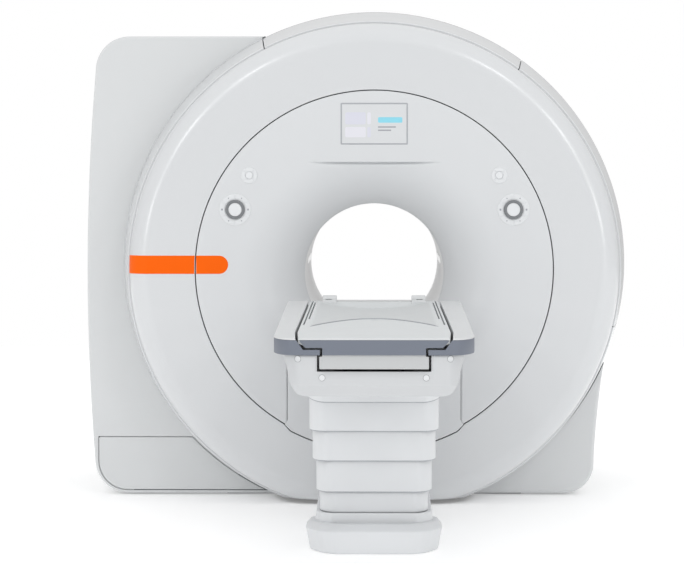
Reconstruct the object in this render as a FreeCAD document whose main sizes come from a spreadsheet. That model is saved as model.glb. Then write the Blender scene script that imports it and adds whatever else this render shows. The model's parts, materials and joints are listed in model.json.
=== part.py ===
"""Hospital MRI scanner with its patient table, as an assembly of separate pieces.

Frame: millimetres, X to the right, Y into the bore away from the table, Z up.
The origin is on the floor, straight below the isocentre at the middle of the bore.
Every driving dimension is a cell of the sheet "sizes"; each feature is bound to those cells.
"""
import FreeCAD, Part
import math
import os
import types

import Sketcher

SIZES = {
    # General clearances and wall thicknesses
    "seat_gap": 0.3,
    "running_gap": 0.1,
    "seam_gap": 4,
    "cover_wall": 5,
    "floor_gap": 20,
    # Bore tube, coils and magnet
    "bore_radius": 300,
    "bore_height": 990,
    "liner_length": 1300,
    "liner_wall": 10,
    "body_coil_wall": 34,
    "body_coil_length": 1080,
    "gradient_wall": 105,
    "gradient_length": 1130,
    "magnet_rest": 90,
    "magnet_length": 1160,
    "cold_head_radius": 60,
    "cold_head_half": 80,
    "cold_head_rise": 170,
    "cold_head_offset": 250,
    # Front of the gantry
    "face_depth": 810,
    "disc_rise": 20,
    "ring_band": 290,
    "ring_sink": 43,
    "roll_radius": 92,
    "funnel_radius": 560,
    "crease_drop": 83,
    "crease_depth": 14,
    "frame_wall": 12,
    "frame_inner": 600,
    "frame_overlap": 3,
    "bracket_width": 60,
    "bracket_inset": 80,
    # Rim behind the front ring
    "rim_rise": 15,
    "rim_flare": 45,
    "rim_flange": 50,
    "shoulder_depth": 450,
    "rim_rear": 600,
    "rim_left_split": 116.5,
    "rim_right_split": 54.1,
    "rim_lower_split": -13.7,
    # Rear cover
    "rear_depth": 770,
    "rear_roll": 80,
    "rear_overlap": 35,
    "rear_funnel": 520,
    # Side covers
    "box_rear": 600,
    "box_drop": 105,
    "box_bottom": 8,
    "box_left_overhang": 133,
    "box_right_inset": 130,
    "box_right_upper_inset": 78,
    "box_right_upper_drop": 25,
    "left_corner": 148,
    "right_corner": 130,
    "left_side_arc": 9600,
    "left_side_lean": 9,
    "box_inner": 400,
    "right_side_arc": 6000,
    "box_right_tip_drop": 435,
    # Service panel in the left side cover
    "service_top": 255,
    "service_inset": 18,
    "service_bottom": 12,
    "service_corner": 128,
    # Lower bridge cover behind the table column
    "bridge_half": 372,
    "bridge_top": 640,
    "bridge_step_height": 366,
    "bridge_overlap": 11,
    "bridge_shoulder": 384,
    "bridge_shoulder_height": 346,
    "bridge_corner": 355,
    # Stripe
    "stripe_rise": 20,
    "stripe_width": 78,
    "stripe_reach": 139,
    "stripe_wall": 1,
    # Display
    "display_drop": 141,
    "display_width": 287,
    "display_rise": 178,
    "bezel_width": 6,
    "bezel_depth": 20,
    "screen_wall": 6,
    # Large control unit with its dial
    "control_offset": 594,
    "control_rise": 276,
    "control_stub": 57,
    "control_floor": 26,
    "keypad_radius": 68,
    "keypad_wall": 3,
    "dial_radius": 41,
    "dial_proud": 12,
    # Small control unit with its button
    "small_offset": 533,
    "small_rise": 422,
    "small_radius": 35,
    "button_radius": 15,
    "button_proud": 6,
    "button_travel": 1.5,
    # Base frame and floor fixing
    "pad_wall": 14,
    "beam_width": 60,
    "beam_left_inset": 171,
    "beam_right_inset": 128,
    "rail_offset": 480,
    "rail_width": 100,
    "anchor_offset": 590,
    "anchor_depth": 330,
    "anchor_radius": 9,
    "pad_size": 120,
    "saddle_half": 520,
    "saddle_rise": 170,
    "saddle_offset": 350,
    "saddle_wall": 80,
    # Table top
    "top_drop": 104,
    "top_half": 268,
    "top_edge": 18,
    "top_waist": 225,
    "top_waist_drop": 56,
    "top_keel": 150,
    "top_keel_drop": 80,
    "top_rear": 980,
    "table_front": 3432,
    "taper_start": 3079,
    "taper_inset": 12,
    "cradle_half": 233,
    "cradle_drop": 28,
    "cradle_end": 2795,
    "cradle_shoulder": 4,
    "tongue_shoulder": 449,
    "tongue_neck": 70,
    "tongue_side_arc": 1518,
    "tongue_tip_arc": 80,
    "slot_width": 3.5,
    "slot_drop": 9,
    "outer_slot": 256,
    "outer_slot_rear": 1010,
    "outer_slot_front": 2676,
    "inner_slot": 245,
    "inner_slot_rear": 1020,
    "inner_slot_front": 2305,
    # Front end of the table top and its bumper
    "end_depth": 104,
    "lip_wall": 33,
    "block_half": 176,
    "apron_half": 185,
    "apron_drop": 62,
    "apron_height": 43,
    "apron_gap": 8,
    "bumper_wall": 8,
    "bumper_drop": 6,
    "bumper_height": 51,
    "bumper_notch": 238,
    "bumper_notch_top": 262,
    # Side frames
    "frame_front_half": 343,
    "frame_rear_half": 362,
    "frame_rear": 990,
    "frame_widest": 1170,
    "frame_corner": 45,
    "top_gap": 9,
    "side_wall": 6,
    # Table housing and neck
    "housing_rear": 900,
    "housing_top_half": 311,
    "housing_mid_half": 297,
    "housing_mid_drop": 99,
    "housing_low_half": 285,
    "housing_low_drop": 156,
    "housing_chamfer_half": 262,
    "housing_chamfer_drop": 193,
    "housing_bottom_half": 236,
    "housing_depth": 200,
    "housing_wall": 6,
    "neck_top_half": 285,
    "neck_height": 119,
    "neck_wall": 5,
    # Telescopic column covers
    "column_front": 2250,
    "column_rear": 1350,
    "shell_wall": 8,
    "shell_corner": 50,
    "shell_1_half": 247,
    "shell_1_shown": 109,
    "shell_1_cover": 53,
    "shell_2_half": 235,
    "shell_2_shown": 114,
    "shell_2_cover": 42,
    "shell_3_half": 221,
    "shell_3_shown": 120,
    "shell_3_cover": 46,
    "shell_4_half": 207,
    "shell_4_cover": 46,
    # Foot, plinth and base plate
    "foot_front": 2328,
    "foot_rear": 1290,
    "foot_bottom_half": 245,
    "foot_flare": 15,
    "foot_edge_height": 86,
    "foot_top": 110,
    "foot_top_inset": 40,
    "foot_cut_width": 63,
    "foot_cut_depth": 140,
    "foot_wall": 14,
    "plinth_top": 143,
    "plinth_half": 226,
    "plinth_front": 2236,
    "plate_half": 200,
    "plate_wall": 14,
    # Lift drive
    "lift_half": 75,
    "lift_wall": 12,
    "lift_column_drop": 78,
    "lift_rod_overlap": 40,
    "cross_rise": 20,
    "cross_wall": 34,
    "cross_length": 200,
    # Guide rails, carriage and drive motor
    "guide_offset": 120,
    "guide_width": 30,
    "guide_drop": 118,
    "guide_front": 3380,
    "guide_rear": 920,
    "carriage_front": 3250,
    "carriage_length": 600,
    "carriage_half": 140,
    "motor_radius": 34,
    "motor_length": 160,
    "motor_offset": 190,
    "motor_front": 1300,
    # Deck in the bore
    "deck_half": 200,
    "deck_wall": 15,
    "deck_front": 890,
    "deck_leg": 60,
    "deck_leg_drop": 270,
    # Coil sockets
    "socket_inner": 157,
    "socket_outer": 216,
    "socket_front": 1040,
    "socket_rear": 985,
    "socket_rise": 32,
}


class Size:
    """A length in millimetres with its value and the sheet formula that gives it."""

    def __init__(self, value, formula):
        self.value = float(value)
        self.formula = formula

    def __add__(self, other):
        other = as_size(other)
        return Size(self.value + other.value, f"({self.formula} + {other.formula})")

    def __sub__(self, other):
        other = as_size(other)
        return Size(self.value - other.value, f"({self.formula} - {other.formula})")

    def __mul__(self, other):
        other = as_size(other)
        return Size(self.value * other.value, f"({self.formula} * {other.formula})")

    def __truediv__(self, other):
        other = as_size(other)
        return Size(self.value / other.value, f"({self.formula} / {other.formula})")

    def __neg__(self):
        return Size(-self.value, f"(0 - {self.formula})")

    def __radd__(self, other):
        return as_size(other) + self

    def __rsub__(self, other):
        return as_size(other) - self

    def __rmul__(self, other):
        return as_size(other) * self


def as_size(number):
    """The number itself as a Size, unless it is one already."""
    if isinstance(number, Size):
        return number
    return Size(number, f"({float(number)!r})")


def root(size):
    """The square root of a Size."""
    return Size(math.sqrt(size.value), f"sqrt({size.formula})")


def chord(radius, height):
    """Half the width of a circle of that radius at that height over its centre."""
    return root(radius * radius - height * height)


def turned_point(radius, angle):
    """The point of a circle at an angle in degrees, as (across, up)."""
    across = Size(radius.value * math.cos(math.radians(angle.value)), f"({radius.formula} * cos({angle.formula}))")
    up = Size(radius.value * math.sin(math.radians(angle.value)), f"({radius.formula} * sin({angle.formula}))")
    return across, up


doc = FreeCAD.newDocument("mri_scanner")
sheet = doc.addObject("Spreadsheet::Sheet", "sizes")
for row, (alias, number) in enumerate(SIZES.items(), start=1):
    sheet.set(f"A{row}", alias)
    sheet.set(f"B{row}", str(number))
    sheet.setAlias(f"B{row}", alias)
doc.recompute()
d = types.SimpleNamespace(**{name: Size(sheet.get(name), f"sizes.{name}") for name in SIZES})
nodes = []

# Heights and radii that hang from the height of the bore and from each other
d.frame_height = d.magnet_rest
d.magnet_radius = d.bore_height - d.magnet_rest
d.disc_height = d.bore_height + d.disc_rise
d.ring_radius = d.disc_height + d.ring_sink
d.panel_radius = d.ring_radius - d.ring_band
d.crease_height = d.bore_height + d.funnel_radius - d.crease_drop
d.frame_depth = d.face_depth - d.roll_radius
d.rim_height = d.disc_height + d.rim_rise
d.rim_radius = d.ring_radius + d.rim_flare
d.bracket_circle = d.magnet_radius - d.bracket_inset
d.box_top = d.rim_height + d.rim_radius - d.box_drop
d.box_left = d.rim_radius + d.box_left_overhang
d.box_right = d.rim_radius - d.box_right_inset
d.box_right_upper = d.rim_radius - d.box_right_upper_inset
d.box_right_upper_height = d.rim_height - d.box_right_upper_drop
d.box_right_tip = d.rim_height - d.box_right_tip_drop
d.service_left = d.box_left - d.service_inset
d.bridge_radius = d.panel_radius + d.seam_gap + d.bridge_overlap
d.stripe_height = d.disc_height + d.stripe_rise
d.stripe_end = d.panel_radius - d.stripe_reach
d.display_height = d.disc_height + d.panel_radius - d.display_drop
d.control_height = d.bore_height + d.control_rise
d.small_height = d.bore_height + d.small_rise
d.beam_left = d.box_left - d.beam_left_inset
d.beam_right = d.box_right - d.beam_right_inset
d.top_height = d.bore_height - d.top_drop
d.lip_underside = d.top_height - d.lip_wall
d.apron_top = d.top_height - d.apron_drop
d.apron_bottom = d.apron_top - d.apron_height
d.bumper_top = d.top_height - d.bumper_drop
d.bumper_bottom = d.bumper_top - d.bumper_height
d.housing_mid_height = d.top_height - d.housing_mid_drop
d.housing_low_height = d.top_height - d.housing_low_drop
d.housing_chamfer_height = d.top_height - d.housing_chamfer_drop
d.housing_bottom = d.top_height - d.housing_depth
d.neck_bottom = d.housing_bottom - d.neck_height
d.shell_1_bottom = d.neck_bottom - d.shell_1_shown
d.shell_1_top = d.neck_bottom + d.shell_1_cover
d.shell_2_bottom = d.shell_1_bottom - d.shell_2_shown
d.shell_2_top = d.shell_1_bottom + d.shell_2_cover
d.shell_3_bottom = d.shell_2_bottom - d.shell_3_shown
d.shell_3_top = d.shell_2_bottom + d.shell_3_cover
d.shell_4_top = d.shell_3_bottom + d.shell_4_cover
d.lift_column_top = d.shell_1_bottom - d.lift_column_drop
d.lift_rod_bottom = d.lift_column_top - d.lift_rod_overlap
d.cross_bottom = d.housing_bottom + d.cross_rise
d.guide_top = d.top_height - d.guide_drop
d.deck_leg_height = d.bore_height - d.deck_leg_drop
d.socket_top = d.top_height + d.socket_rise


def bind(thing, path, size):
    """Tie a property to its formula."""
    thing.setExpression(path, as_size(size).formula)


def place(thing, x=0, y=0, z=0):
    """Put an object's origin at a point that follows the sheet."""
    bind(thing, "Placement.Base.x", x)
    bind(thing, "Placement.Base.y", y)
    bind(thing, "Placement.Base.z", z)
    return thing


def keep(thing, label):
    """Name an object as a finished sub-part."""
    thing.Label = label
    nodes.append(thing)
    return thing


def arc_between(start, end, radius):
    """The shorter arc between two points, turning left for a positive radius."""
    middle = (start + end) * 0.5
    half = (end - start) * 0.5
    rise = math.sqrt(max(radius * radius - half.Length ** 2, 0.0))
    left = FreeCAD.Vector(-half.y, half.x, 0).normalize()
    centre = middle + left * math.copysign(rise, radius)
    first, last = (start, end) if radius > 0 else (end, start)
    angles = [math.atan2(p.y - centre.y, p.x - centre.x) for p in (first, last)]
    circle = Part.Circle(centre, FreeCAD.Vector(0, 0, 1), abs(radius))
    return Part.ArcOfCircle(circle, angles[0], angles[1] if angles[1] > angles[0] else angles[1] + 2 * math.pi)


def outline(body, role, corners, height=0):
    """A closed outline on an origin plane of the body, every corner tied to the sheet.

    A corner (x, y) is reached by a straight side from the corner before it, and a corner
    (x, y, radius) by an arc, which turns left for a positive radius.
    """
    sketch = body.newObject("Sketcher::SketchObject", f"{body.Name}_outline")
    plane = next(f for f in body.Origin.OriginFeatures if f.Role == role)
    sketch.AttachmentSupport = [(plane, "")]
    sketch.MapMode = "FlatFace"
    bind(sketch, "AttachmentOffset.Base.z", height)
    points = [FreeCAD.Vector(as_size(c[0]).value, as_size(c[1]).value, 0) for c in corners]
    ends = []
    for i, corner in enumerate(corners):
        start = points[i - 1]
        if len(corner) == 2:
            sketch.addGeometry(Part.LineSegment(start, points[i]))
            ends.append((i, 1, 2))
        else:
            radius = as_size(corner[2])
            sketch.addGeometry(arc_between(start, points[i], radius.value))
            ends.append((i, 1, 2) if radius.value > 0 else (i, 2, 1))
    for i, (side, _, last) in enumerate(ends):
        following, first, _ = ends[(i + 1) % len(ends)]
        sketch.addConstraint(Sketcher.Constraint("Coincident", side, last, following, first))
    for i, corner in enumerate(corners):
        side, _, last = ends[i]
        for kind, number in (("DistanceX", corner[0]), ("DistanceY", corner[1])):
            size = as_size(number)
            index = sketch.addConstraint(Sketcher.Constraint(kind, -1, 1, side, last, size.value))
            if "sizes." in size.formula:
                sketch.setExpression(f"Constraints[{index}]", size.formula)
        if len(corner) == 3:
            radius = as_size(corner[2])
            radius = radius if radius.value > 0 else -radius
            index = sketch.addConstraint(Sketcher.Constraint("Radius", side, radius.value))
            sketch.setExpression(f"Constraints[{index}]", radius.formula)
    return sketch


def bend(y, radius, size, first, last, sides):
    """Points on an arc of a turned profile, round (y, radius) from one angle to another in degrees.

    An angle of 0 points away from the axis, and 90 towards +Y.
    """
    points = []
    for i in range(sides + 1):
        out, along = turned_point(as_size(size), as_size(first + (last - first) * i / sides))
        points.append((y + along, radius + out))
    return points


def body_for(name):
    return doc.addObject("PartDesign::Body", name)


def turned(name, corners, x=0, y=0, z=0):
    """A body turned about an axis along Y; each corner is (distance along Y, radius)."""
    body = body_for(name)
    profile = outline(body, "YZ_Plane", corners)
    spin = body.newObject("PartDesign::Revolution", f"{name}_turn")
    spin.Profile = profile
    spin.ReferenceAxis = (profile, ["H_Axis"])
    spin.Angle = 360
    profile.Visibility = False
    return place(body, x, y, z)


def along_y(name, corners, front, rear):
    """A body extruded along Y between two distances in front of the isocentre; corners are (x, z)."""
    body = body_for(name)
    pad = body.newObject("PartDesign::Pad", f"{name}_pad")
    pad.Profile = outline(body, "XZ_Plane", corners)
    bind(pad, "Length", front - rear)
    return place(body, 0, -rear, 0)


def upright(name, corners, bottom, top):
    """A body extruded along Z between two heights; corners are (x, y)."""
    body = body_for(name)
    pad = body.newObject("PartDesign::Pad", f"{name}_pad")
    pad.Profile = outline(body, "XY_Plane", corners)
    bind(pad, "Length", top - bottom)
    return place(body, 0, 0, bottom)


def lofted(name, sections):
    """A body lofted straight between outlines (height, corners)."""
    body = body_for(name)
    sketches = [outline(body, "XY_Plane", corners, height) for height, corners in sections]
    loft = body.newObject("PartDesign::AdditiveLoft", f"{name}_loft")
    loft.Profile = sketches[0]
    loft.Sections = sketches[1:]
    loft.Ruled = True
    return body


def box(name, x, y, z):
    """A box between two limits on each axis."""
    made = doc.addObject("Part::Box", name)
    for side, (low, high) in zip(("Length", "Width", "Height"), (x, y, z)):
        bind(made, side, as_size(high) - low)
    return place(made, x[0], y[0], z[0])


def cylinder_y(name, radius, rear_to_front, x=0, z=0):
    """A cylinder along Y; rear_to_front gives its two Y limits, low first."""
    made = doc.addObject("Part::Cylinder", name)
    made.Placement = FreeCAD.Placement(FreeCAD.Vector(), FreeCAD.Rotation(FreeCAD.Vector(1, 0, 0), -90))
    bind(made, "Radius", radius)
    bind(made, "Height", as_size(rear_to_front[1]) - rear_to_front[0])
    return place(made, x, rear_to_front[0], z)


def cylinder_z(name, radius, x, y, z):
    """A cylinder along Z; z gives its two heights, low first."""
    made = doc.addObject("Part::Cylinder", name)
    bind(made, "Radius", radius)
    bind(made, "Height", as_size(z[1]) - z[0])
    return place(made, x, y, z[0])


def fuse(name, shapes):
    made = doc.addObject("Part::MultiFuse", name)
    made.Shapes = list(shapes)
    made.Refine = True
    return made


def cut(name, base, tools):
    """The base less every tool."""
    made = doc.addObject("Part::Cut", name)
    made.Base = base
    made.Tool = tools[0] if len(tools) == 1 else fuse(f"{name}_tools", tools)
    made.Refine = True
    return made


def common(name, first, second):
    made = doc.addObject("Part::Common", name)
    made.Base = first
    made.Tool = second
    made.Refine = True
    return made


def rounded(half_width, front, rear, corner):
    """A rectangle in plan, centred on X = 0, each corner rounded by short chords."""
    side = half_width - corner
    points = []
    for x, y, start in ((side, -rear - corner, 0), (-side, -rear - corner, 90),
                        (-side, -front + corner, 180), (side, -front + corner, 270)):
        for i in range(CORNER_CHORDS + 1):
            across, along = turned_point(as_size(corner), as_size(start + 90 / CORNER_CHORDS * i))
            points.append((x + across, y + along))
    return points


def sided(side, corners):
    """The same outline for the right side (1) or mirrored to the left side (-1)."""
    return [(side * c[0], c[1]) if len(c) == 2 else (side * c[0], c[1], side * c[2]) for c in corners]


LEFT_AND_RIGHT = (("left", -1), ("right", 1))
CORNER_CHORDS = 3
DIAL_SIDES = 24
BUTTON_SIDES = 16
FAR = 3000  # reach of a cutting tool beyond the whole machine

# Sizes that follow from the driving ones
wall = d.cover_wall
bore = d.bore_height
liner_half = d.liner_length / 2
magnet_half = d.magnet_length / 2
face = -d.face_depth
body_coil_inner = d.bore_radius + d.liner_wall + d.seat_gap
body_coil_outer = body_coil_inner + d.body_coil_wall
gradient_inner = body_coil_outer + d.seat_gap
gradient_outer = gradient_inner + d.gradient_wall
magnet_inner = gradient_outer + d.seat_gap
frame_front = -d.frame_depth
frame_back = frame_front + d.frame_wall
ring_inner = d.panel_radius + d.seam_gap
ring_edge = face + d.roll_radius
rim_front = ring_edge + d.seam_gap
rim_front_radius = d.ring_radius + d.seam_gap + wall
box_front = -d.shoulder_depth
keel_height = d.top_height - d.top_keel_drop


def tube(name, inner, outer, half_length):
    """A coil or tube about the bore axis."""
    corners = [(-half_length, inner), (half_length, inner), (half_length, outer), (-half_length, outer)]
    return turned(name, corners, z=bore)


def make_magnet():
    """Nested tubes from the bore outwards, and the cold head on top."""
    keep(tube("liner", d.bore_radius, d.bore_radius + d.liner_wall, liner_half), "bore_liner")
    keep(tube("coil", body_coil_inner, body_coil_outer, d.body_coil_length / 2), "body_coil")
    keep(tube("gradient", gradient_inner, gradient_outer, d.gradient_length / 2), "gradient_coil")
    keep(tube("magnet", magnet_inner, d.magnet_radius, magnet_half), "cryostat")
    top, half = bore + d.magnet_radius, d.cold_head_half
    y = d.cold_head_offset
    stages = [
        cylinder_z("cold_barrel", d.cold_head_radius, 0, y, (top - d.cold_head_rise / 8, top + d.cold_head_rise)),
        box("cold_motor", (-half, half), (y - half, y + half), (top + d.cold_head_rise * 0.6, top + d.cold_head_rise)),
    ]
    seat = cylinder_y("cold_seat", d.magnet_radius + d.seat_gap, (-magnet_half, magnet_half), 0, bore)
    keep(cut("cold_head_cut", fuse("cold_head_stages", stages), [seat]), "cold_head")


def make_base_frame():
    """Welded base: two cross beams, two rails, saddles under the magnet and four floor pads."""
    low, high = d.pad_wall, d.frame_height
    front = box_front + wall + d.seat_gap
    rear = d.box_rear - wall - d.seat_gap
    parts = [
        box("beam_front", (-d.beam_left, d.beam_right), (front, front + d.beam_width), (low, high)),
        box("beam_rear", (-d.beam_left, d.beam_right), (rear - d.beam_width, rear), (low, high)),
    ]
    half = d.rail_width / 2
    for name, side in LEFT_AND_RIGHT:
        middle = side * d.rail_offset
        parts.append(box(f"rail_{name}", (middle - half, middle + half), (front, rear), (low, high)))
        for end, way in (("front", -1), ("rear", 1)):
            y = way * d.anchor_depth
            inner, outer = d.rail_offset - half, d.anchor_offset + d.pad_size / 2
            x = (inner, outer) if side > 0 else (-outer, -inner)
            parts.append(box(f"pad_{name}_{end}", x, (y - d.pad_size / 2, y + d.pad_size / 2), (0, low)))
    for end, way in (("front", -1), ("rear", 1)):
        y = way * d.saddle_offset
        limits = (y - d.saddle_wall / 2, y + d.saddle_wall / 2)
        parts.append(box(f"saddle_{end}", (-d.saddle_half, d.saddle_half), limits, (low, high + d.saddle_rise)))
    tools = [cylinder_y("saddle_bore", d.magnet_radius + d.seat_gap, (-FAR, FAR), 0, bore)]
    for name, side in LEFT_AND_RIGHT:
        for end, way in (("front", -1), ("rear", 1)):
            x, y = side * d.anchor_offset, way * d.anchor_depth
            tools.append(cylinder_z(f"anchor_{name}_{end}", d.anchor_radius, x, y, (-1, low + 1)))
    keep(cut("base_frame_cut", fuse("base_frame_parts", parts), tools), "base_frame")


def make_front_frame():
    """Ring of sixteen plate segments that carries the front covers on brackets from the magnet."""
    outer, inner = d.ring_radius - d.frame_overlap, d.frame_inner
    angles = [as_size(360 / 16 * i) for i in range(16)]
    plate = along_y("frame_plate", [turned_point(outer, angle) for angle in angles],
                    d.frame_depth, d.frame_depth - d.frame_wall)
    hole = along_y("frame_hole", [turned_point(inner, angle) for angle in angles],
                   d.frame_depth + 1, d.frame_depth - d.frame_wall - 1)
    for part in (plate, hole):
        bind(part, "Placement.Base.z", d.disc_height)
    half = d.bracket_width / 2
    brackets = []
    for i in range(4):
        across, up = turned_point(d.bracket_circle, as_size(45 + 90 * i))
        brackets.append(box(f"bracket_{i}", (across - half, across + half), (frame_back - 2, -magnet_half),
                            (bore + up - half, bore + up + half)))
    floor = box("frame_floor", (-FAR, FAR), (-FAR, FAR), (-FAR, d.floor_gap + wall))
    keep(cut("front_frame_cut", fuse("front_frame_parts", [plate] + brackets), [hole, floor]), "front_frame")


def bridge_outline(grow):
    """Lower bridge cover seen from the front, grown outwards by a gap or inwards by a wall."""
    radius = d.bridge_radius + grow
    corner = d.bridge_corner + grow
    corner_height = d.disc_height - chord(radius, corner)
    shoulder, shoulder_height = d.bridge_shoulder + grow, d.bridge_shoulder_height
    half = d.bridge_half + grow
    return [
        (half, d.bridge_top + grow),
        (-half, d.bridge_top + grow),
        (-half, d.bridge_step_height),
        (-shoulder, shoulder_height),
        (-corner, corner_height),
        (0, d.disc_height - radius, radius),
        (corner, corner_height, radius),
        (shoulder, shoulder_height),
        (half, d.bridge_step_height),
    ]


def floor_tool(name):
    """Everything below the bottom edge of the covers."""
    return box(name, (-FAR, FAR), (-FAR, FAR), (-FAR, d.floor_gap))


def front_roll(grow):
    """The ring's rolled edge in section, from the flat front to the frame, grown outwards by a skin."""
    return bend(ring_edge, d.ring_radius - d.roll_radius, d.roll_radius + grow, -90, 0, 3)


def make_front_ring():
    """Outer ring of the front: a flat band, a rolled edge, and an inner return to the frame."""
    body = turned("ring", [
        (frame_front, ring_inner + wall),
        (face + wall, ring_inner + wall),
        (face + wall, d.ring_radius - d.roll_radius),
        (frame_front, d.ring_radius - wall),
    ] + front_roll(as_size(0))[::-1] + [
        (face, ring_inner),
        (frame_front, ring_inner),
    ], z=d.disc_height)
    opening = along_y("ring_bridge_cut", bridge_outline(d.seam_gap), d.face_depth + 1, d.frame_depth)
    keep(cut("front_ring_cut", body, [opening, floor_tool("ring_floor")]), "front_ring_cover")


def trumpet(name, end, throat, wide, edge):
    """Bell-mouthed plate: a flat ring, and a flare that narrows to the bore tube at the throat.

    The flare is an arc that leaves the flat face smoothly at the wide radius.
    """
    inward = 1 if throat.value > end.value else -1
    depth = (throat - end) * inward
    across = wide - d.bore_radius
    size = (across * across + depth * depth) / (2 * depth)
    turn = math.degrees(math.asin(across.value / size.value))
    arc = bend(end + size * inward, wide, size, -90 * inward, -(90 + turn) * inward, 4)[:-1]
    inner = end + wall * inward
    return turned(name, [
        (throat, d.bore_radius + d.liner_wall),
        (end + depth * inward * 0.4, d.bore_radius + across * 0.4),
        (inner, wide),
        (inner, edge),
        (end, edge),
    ] + arc + [(throat, d.bore_radius)], z=bore)


def make_front_panel():
    """Round inner panel: a trumpet-shaped mouth of the bore, and a flat crescent above the crease."""
    throat = -liner_half - d.seat_gap
    reach = d.panel_radius + d.disc_height - bore + wall
    mouth = trumpet("funnel", face, throat, d.funnel_radius, reach)
    trim = cylinder_y("panel_trim", d.panel_radius, (face - 1, throat + 1), 0, d.disc_height)
    half = chord(d.funnel_radius, d.crease_height - bore)
    shelf = box("crease_shelf", (-half, half), (face, face + d.crease_depth), (d.crease_height, bore + d.funnel_radius))
    whole = fuse("panel_whole", [common("panel_round", mouth, trim), shelf])
    half, rise = d.display_width / 2 + d.seat_gap, d.display_rise / 2 + d.seat_gap
    tools = [
        box("display_window", (-half, half), (face - 1, frame_front),
            (d.display_height - rise, d.display_height + rise)),
        along_y("panel_bridge_cut", bridge_outline(d.seam_gap), d.face_depth + 1, d.frame_depth - 1),
    ]
    for name, side in LEFT_AND_RIGHT:
        tools.append(cylinder_y(f"control_hole_{name}", d.control_stub + d.seat_gap, (face - 1, frame_front),
                                side * d.control_offset, d.control_height))
        tools.append(cylinder_y(f"small_hole_{name}", d.small_radius + d.seat_gap, (face - 1, frame_front),
                                side * d.small_offset, d.small_height))
    keep(cut("front_panel_cut", whole, tools), "front_panel")


def make_bridge_cover():
    """Tray-shaped cover under the bore, flush with the front and standing on the frame."""
    skin = along_y("bridge_skin", bridge_outline(0), d.face_depth, d.frame_depth)
    hollow = along_y("bridge_hollow", bridge_outline(-wall), d.face_depth - wall, d.frame_depth - 1)
    keep(cut("bridge_cut", skin, [hollow]), "lower_bridge_cover")


def rim_skin(name, inset):
    """Flared collar from the front ring to the shoulder, then a straight drum to the rear."""
    stations = [
        (rim_front, rim_front_radius - inset, d.disc_height),
        (box_front, d.rim_radius - inset, d.rim_height),
        (as_size(d.rim_rear), d.rim_radius - inset, d.rim_height),
    ]
    circles = []
    for i, (y, radius, height) in enumerate(stations):
        circle = doc.addObject("Part::Circle", f"{name}_circle_{i}")
        circle.Placement = FreeCAD.Placement(FreeCAD.Vector(), FreeCAD.Rotation(FreeCAD.Vector(1, 0, 0), -90))
        bind(circle, "Radius", radius)
        circles.append(place(circle, 0, y, height))
    loft = doc.addObject("Part::Loft", name)
    loft.Sections = circles
    loft.Solid = True
    loft.Ruled = True
    return loft


def sector(name, first, last):
    """A wedge about the rim's axis between two angles in degrees, first to last turning left."""
    middle = (first + last) / 2
    points = [turned_point(as_size(FAR), angle) for angle in (first, middle, last)]
    corners = [(0, 0)] + points
    wedge = along_y(name, corners, as_size(FAR), as_size(-FAR))
    bind(wedge, "Placement.Base.z", d.rim_height)
    return wedge


def make_rim():
    """Rim covers: one drum-shaped shell with a flared front, split into four along its length."""
    outer = rim_skin("rim_outer", as_size(0))
    inner = rim_skin("rim_inner", wall)
    edge = rim_front_radius - 1
    flange = turned("rim_flange", [
        (frame_back, edge - d.rim_flange), (frame_back + wall, edge - d.rim_flange),
        (frame_back + wall, edge), (frame_back, edge)], z=d.disc_height)
    shell = fuse("rim_shell", [cut("rim_hollow", outer, [inner]), flange])
    half_gap = d.seam_gap / 2 / d.rim_radius * (180 / math.pi)
    left, right, lower = d.rim_left_split, d.rim_right_split, d.rim_lower_split
    bottom = as_size(-90)
    pieces = {
        "rim_cover_top": (right + half_gap, left - half_gap),
        "rim_cover_right": (lower + half_gap, right - half_gap),
        "rim_cover_lower_right": (bottom, lower - half_gap),
        "rim_cover_left": (left + half_gap, bottom + 360),
    }
    behind = (box_front + wall, FAR)
    for label, (first, last) in pieces.items():
        piece = common(f"{label}_part", shell, sector(f"{label}_sector", first, last))
        tools = [box(f"{label}_floor", (-FAR, FAR), (-FAR, FAR), (-FAR, d.floor_gap))]
        if label == "rim_cover_left":
            tools.append(box(f"{label}_behind", (-FAR, FAR), behind, (-FAR, FAR)))
        if label == "rim_cover_lower_right":
            tools.append(box(f"{label}_behind", (-FAR, FAR), behind, (-FAR, d.box_right_tip)))
        keep(cut(f"{label}_cut", piece, tools), label)


def left_outline(inset, floor):
    """Left side cover seen from the front, before its round bite for the rim."""
    corner = d.left_corner - inset
    side, top = d.box_left - inset, d.box_top - inset
    low = d.box_bottom + d.left_corner
    high = d.box_top - d.left_corner
    corners = [
        (-d.box_inner, floor),
        (-d.box_inner, top),
        (-(side - corner), top),
        (-(side - d.left_side_lean), high, corner),
        (-side, low, d.left_side_arc - inset),
        (-(side - corner), d.box_bottom + inset, corner),
    ]
    if floor.value < d.box_bottom.value:
        corners.append((-(side - corner), floor))
    return corners


def right_outline(inset, floor):
    """Right side cover seen from the front, before its round bite for the rim."""
    corner = d.right_corner - inset
    low = d.box_bottom + d.right_corner
    corners = [
        (d.box_inner, d.box_right_upper_height),
        (d.box_inner, floor),
        (d.box_right - d.right_corner, floor),
        (d.box_right - d.right_corner, d.box_bottom + inset),
        (d.box_right - inset, low, corner),
        (d.box_right_upper - inset, d.box_right_upper_height, d.right_side_arc - inset),
    ]
    if floor.value == d.box_bottom.value:
        del corners[3]
    return corners


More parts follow.
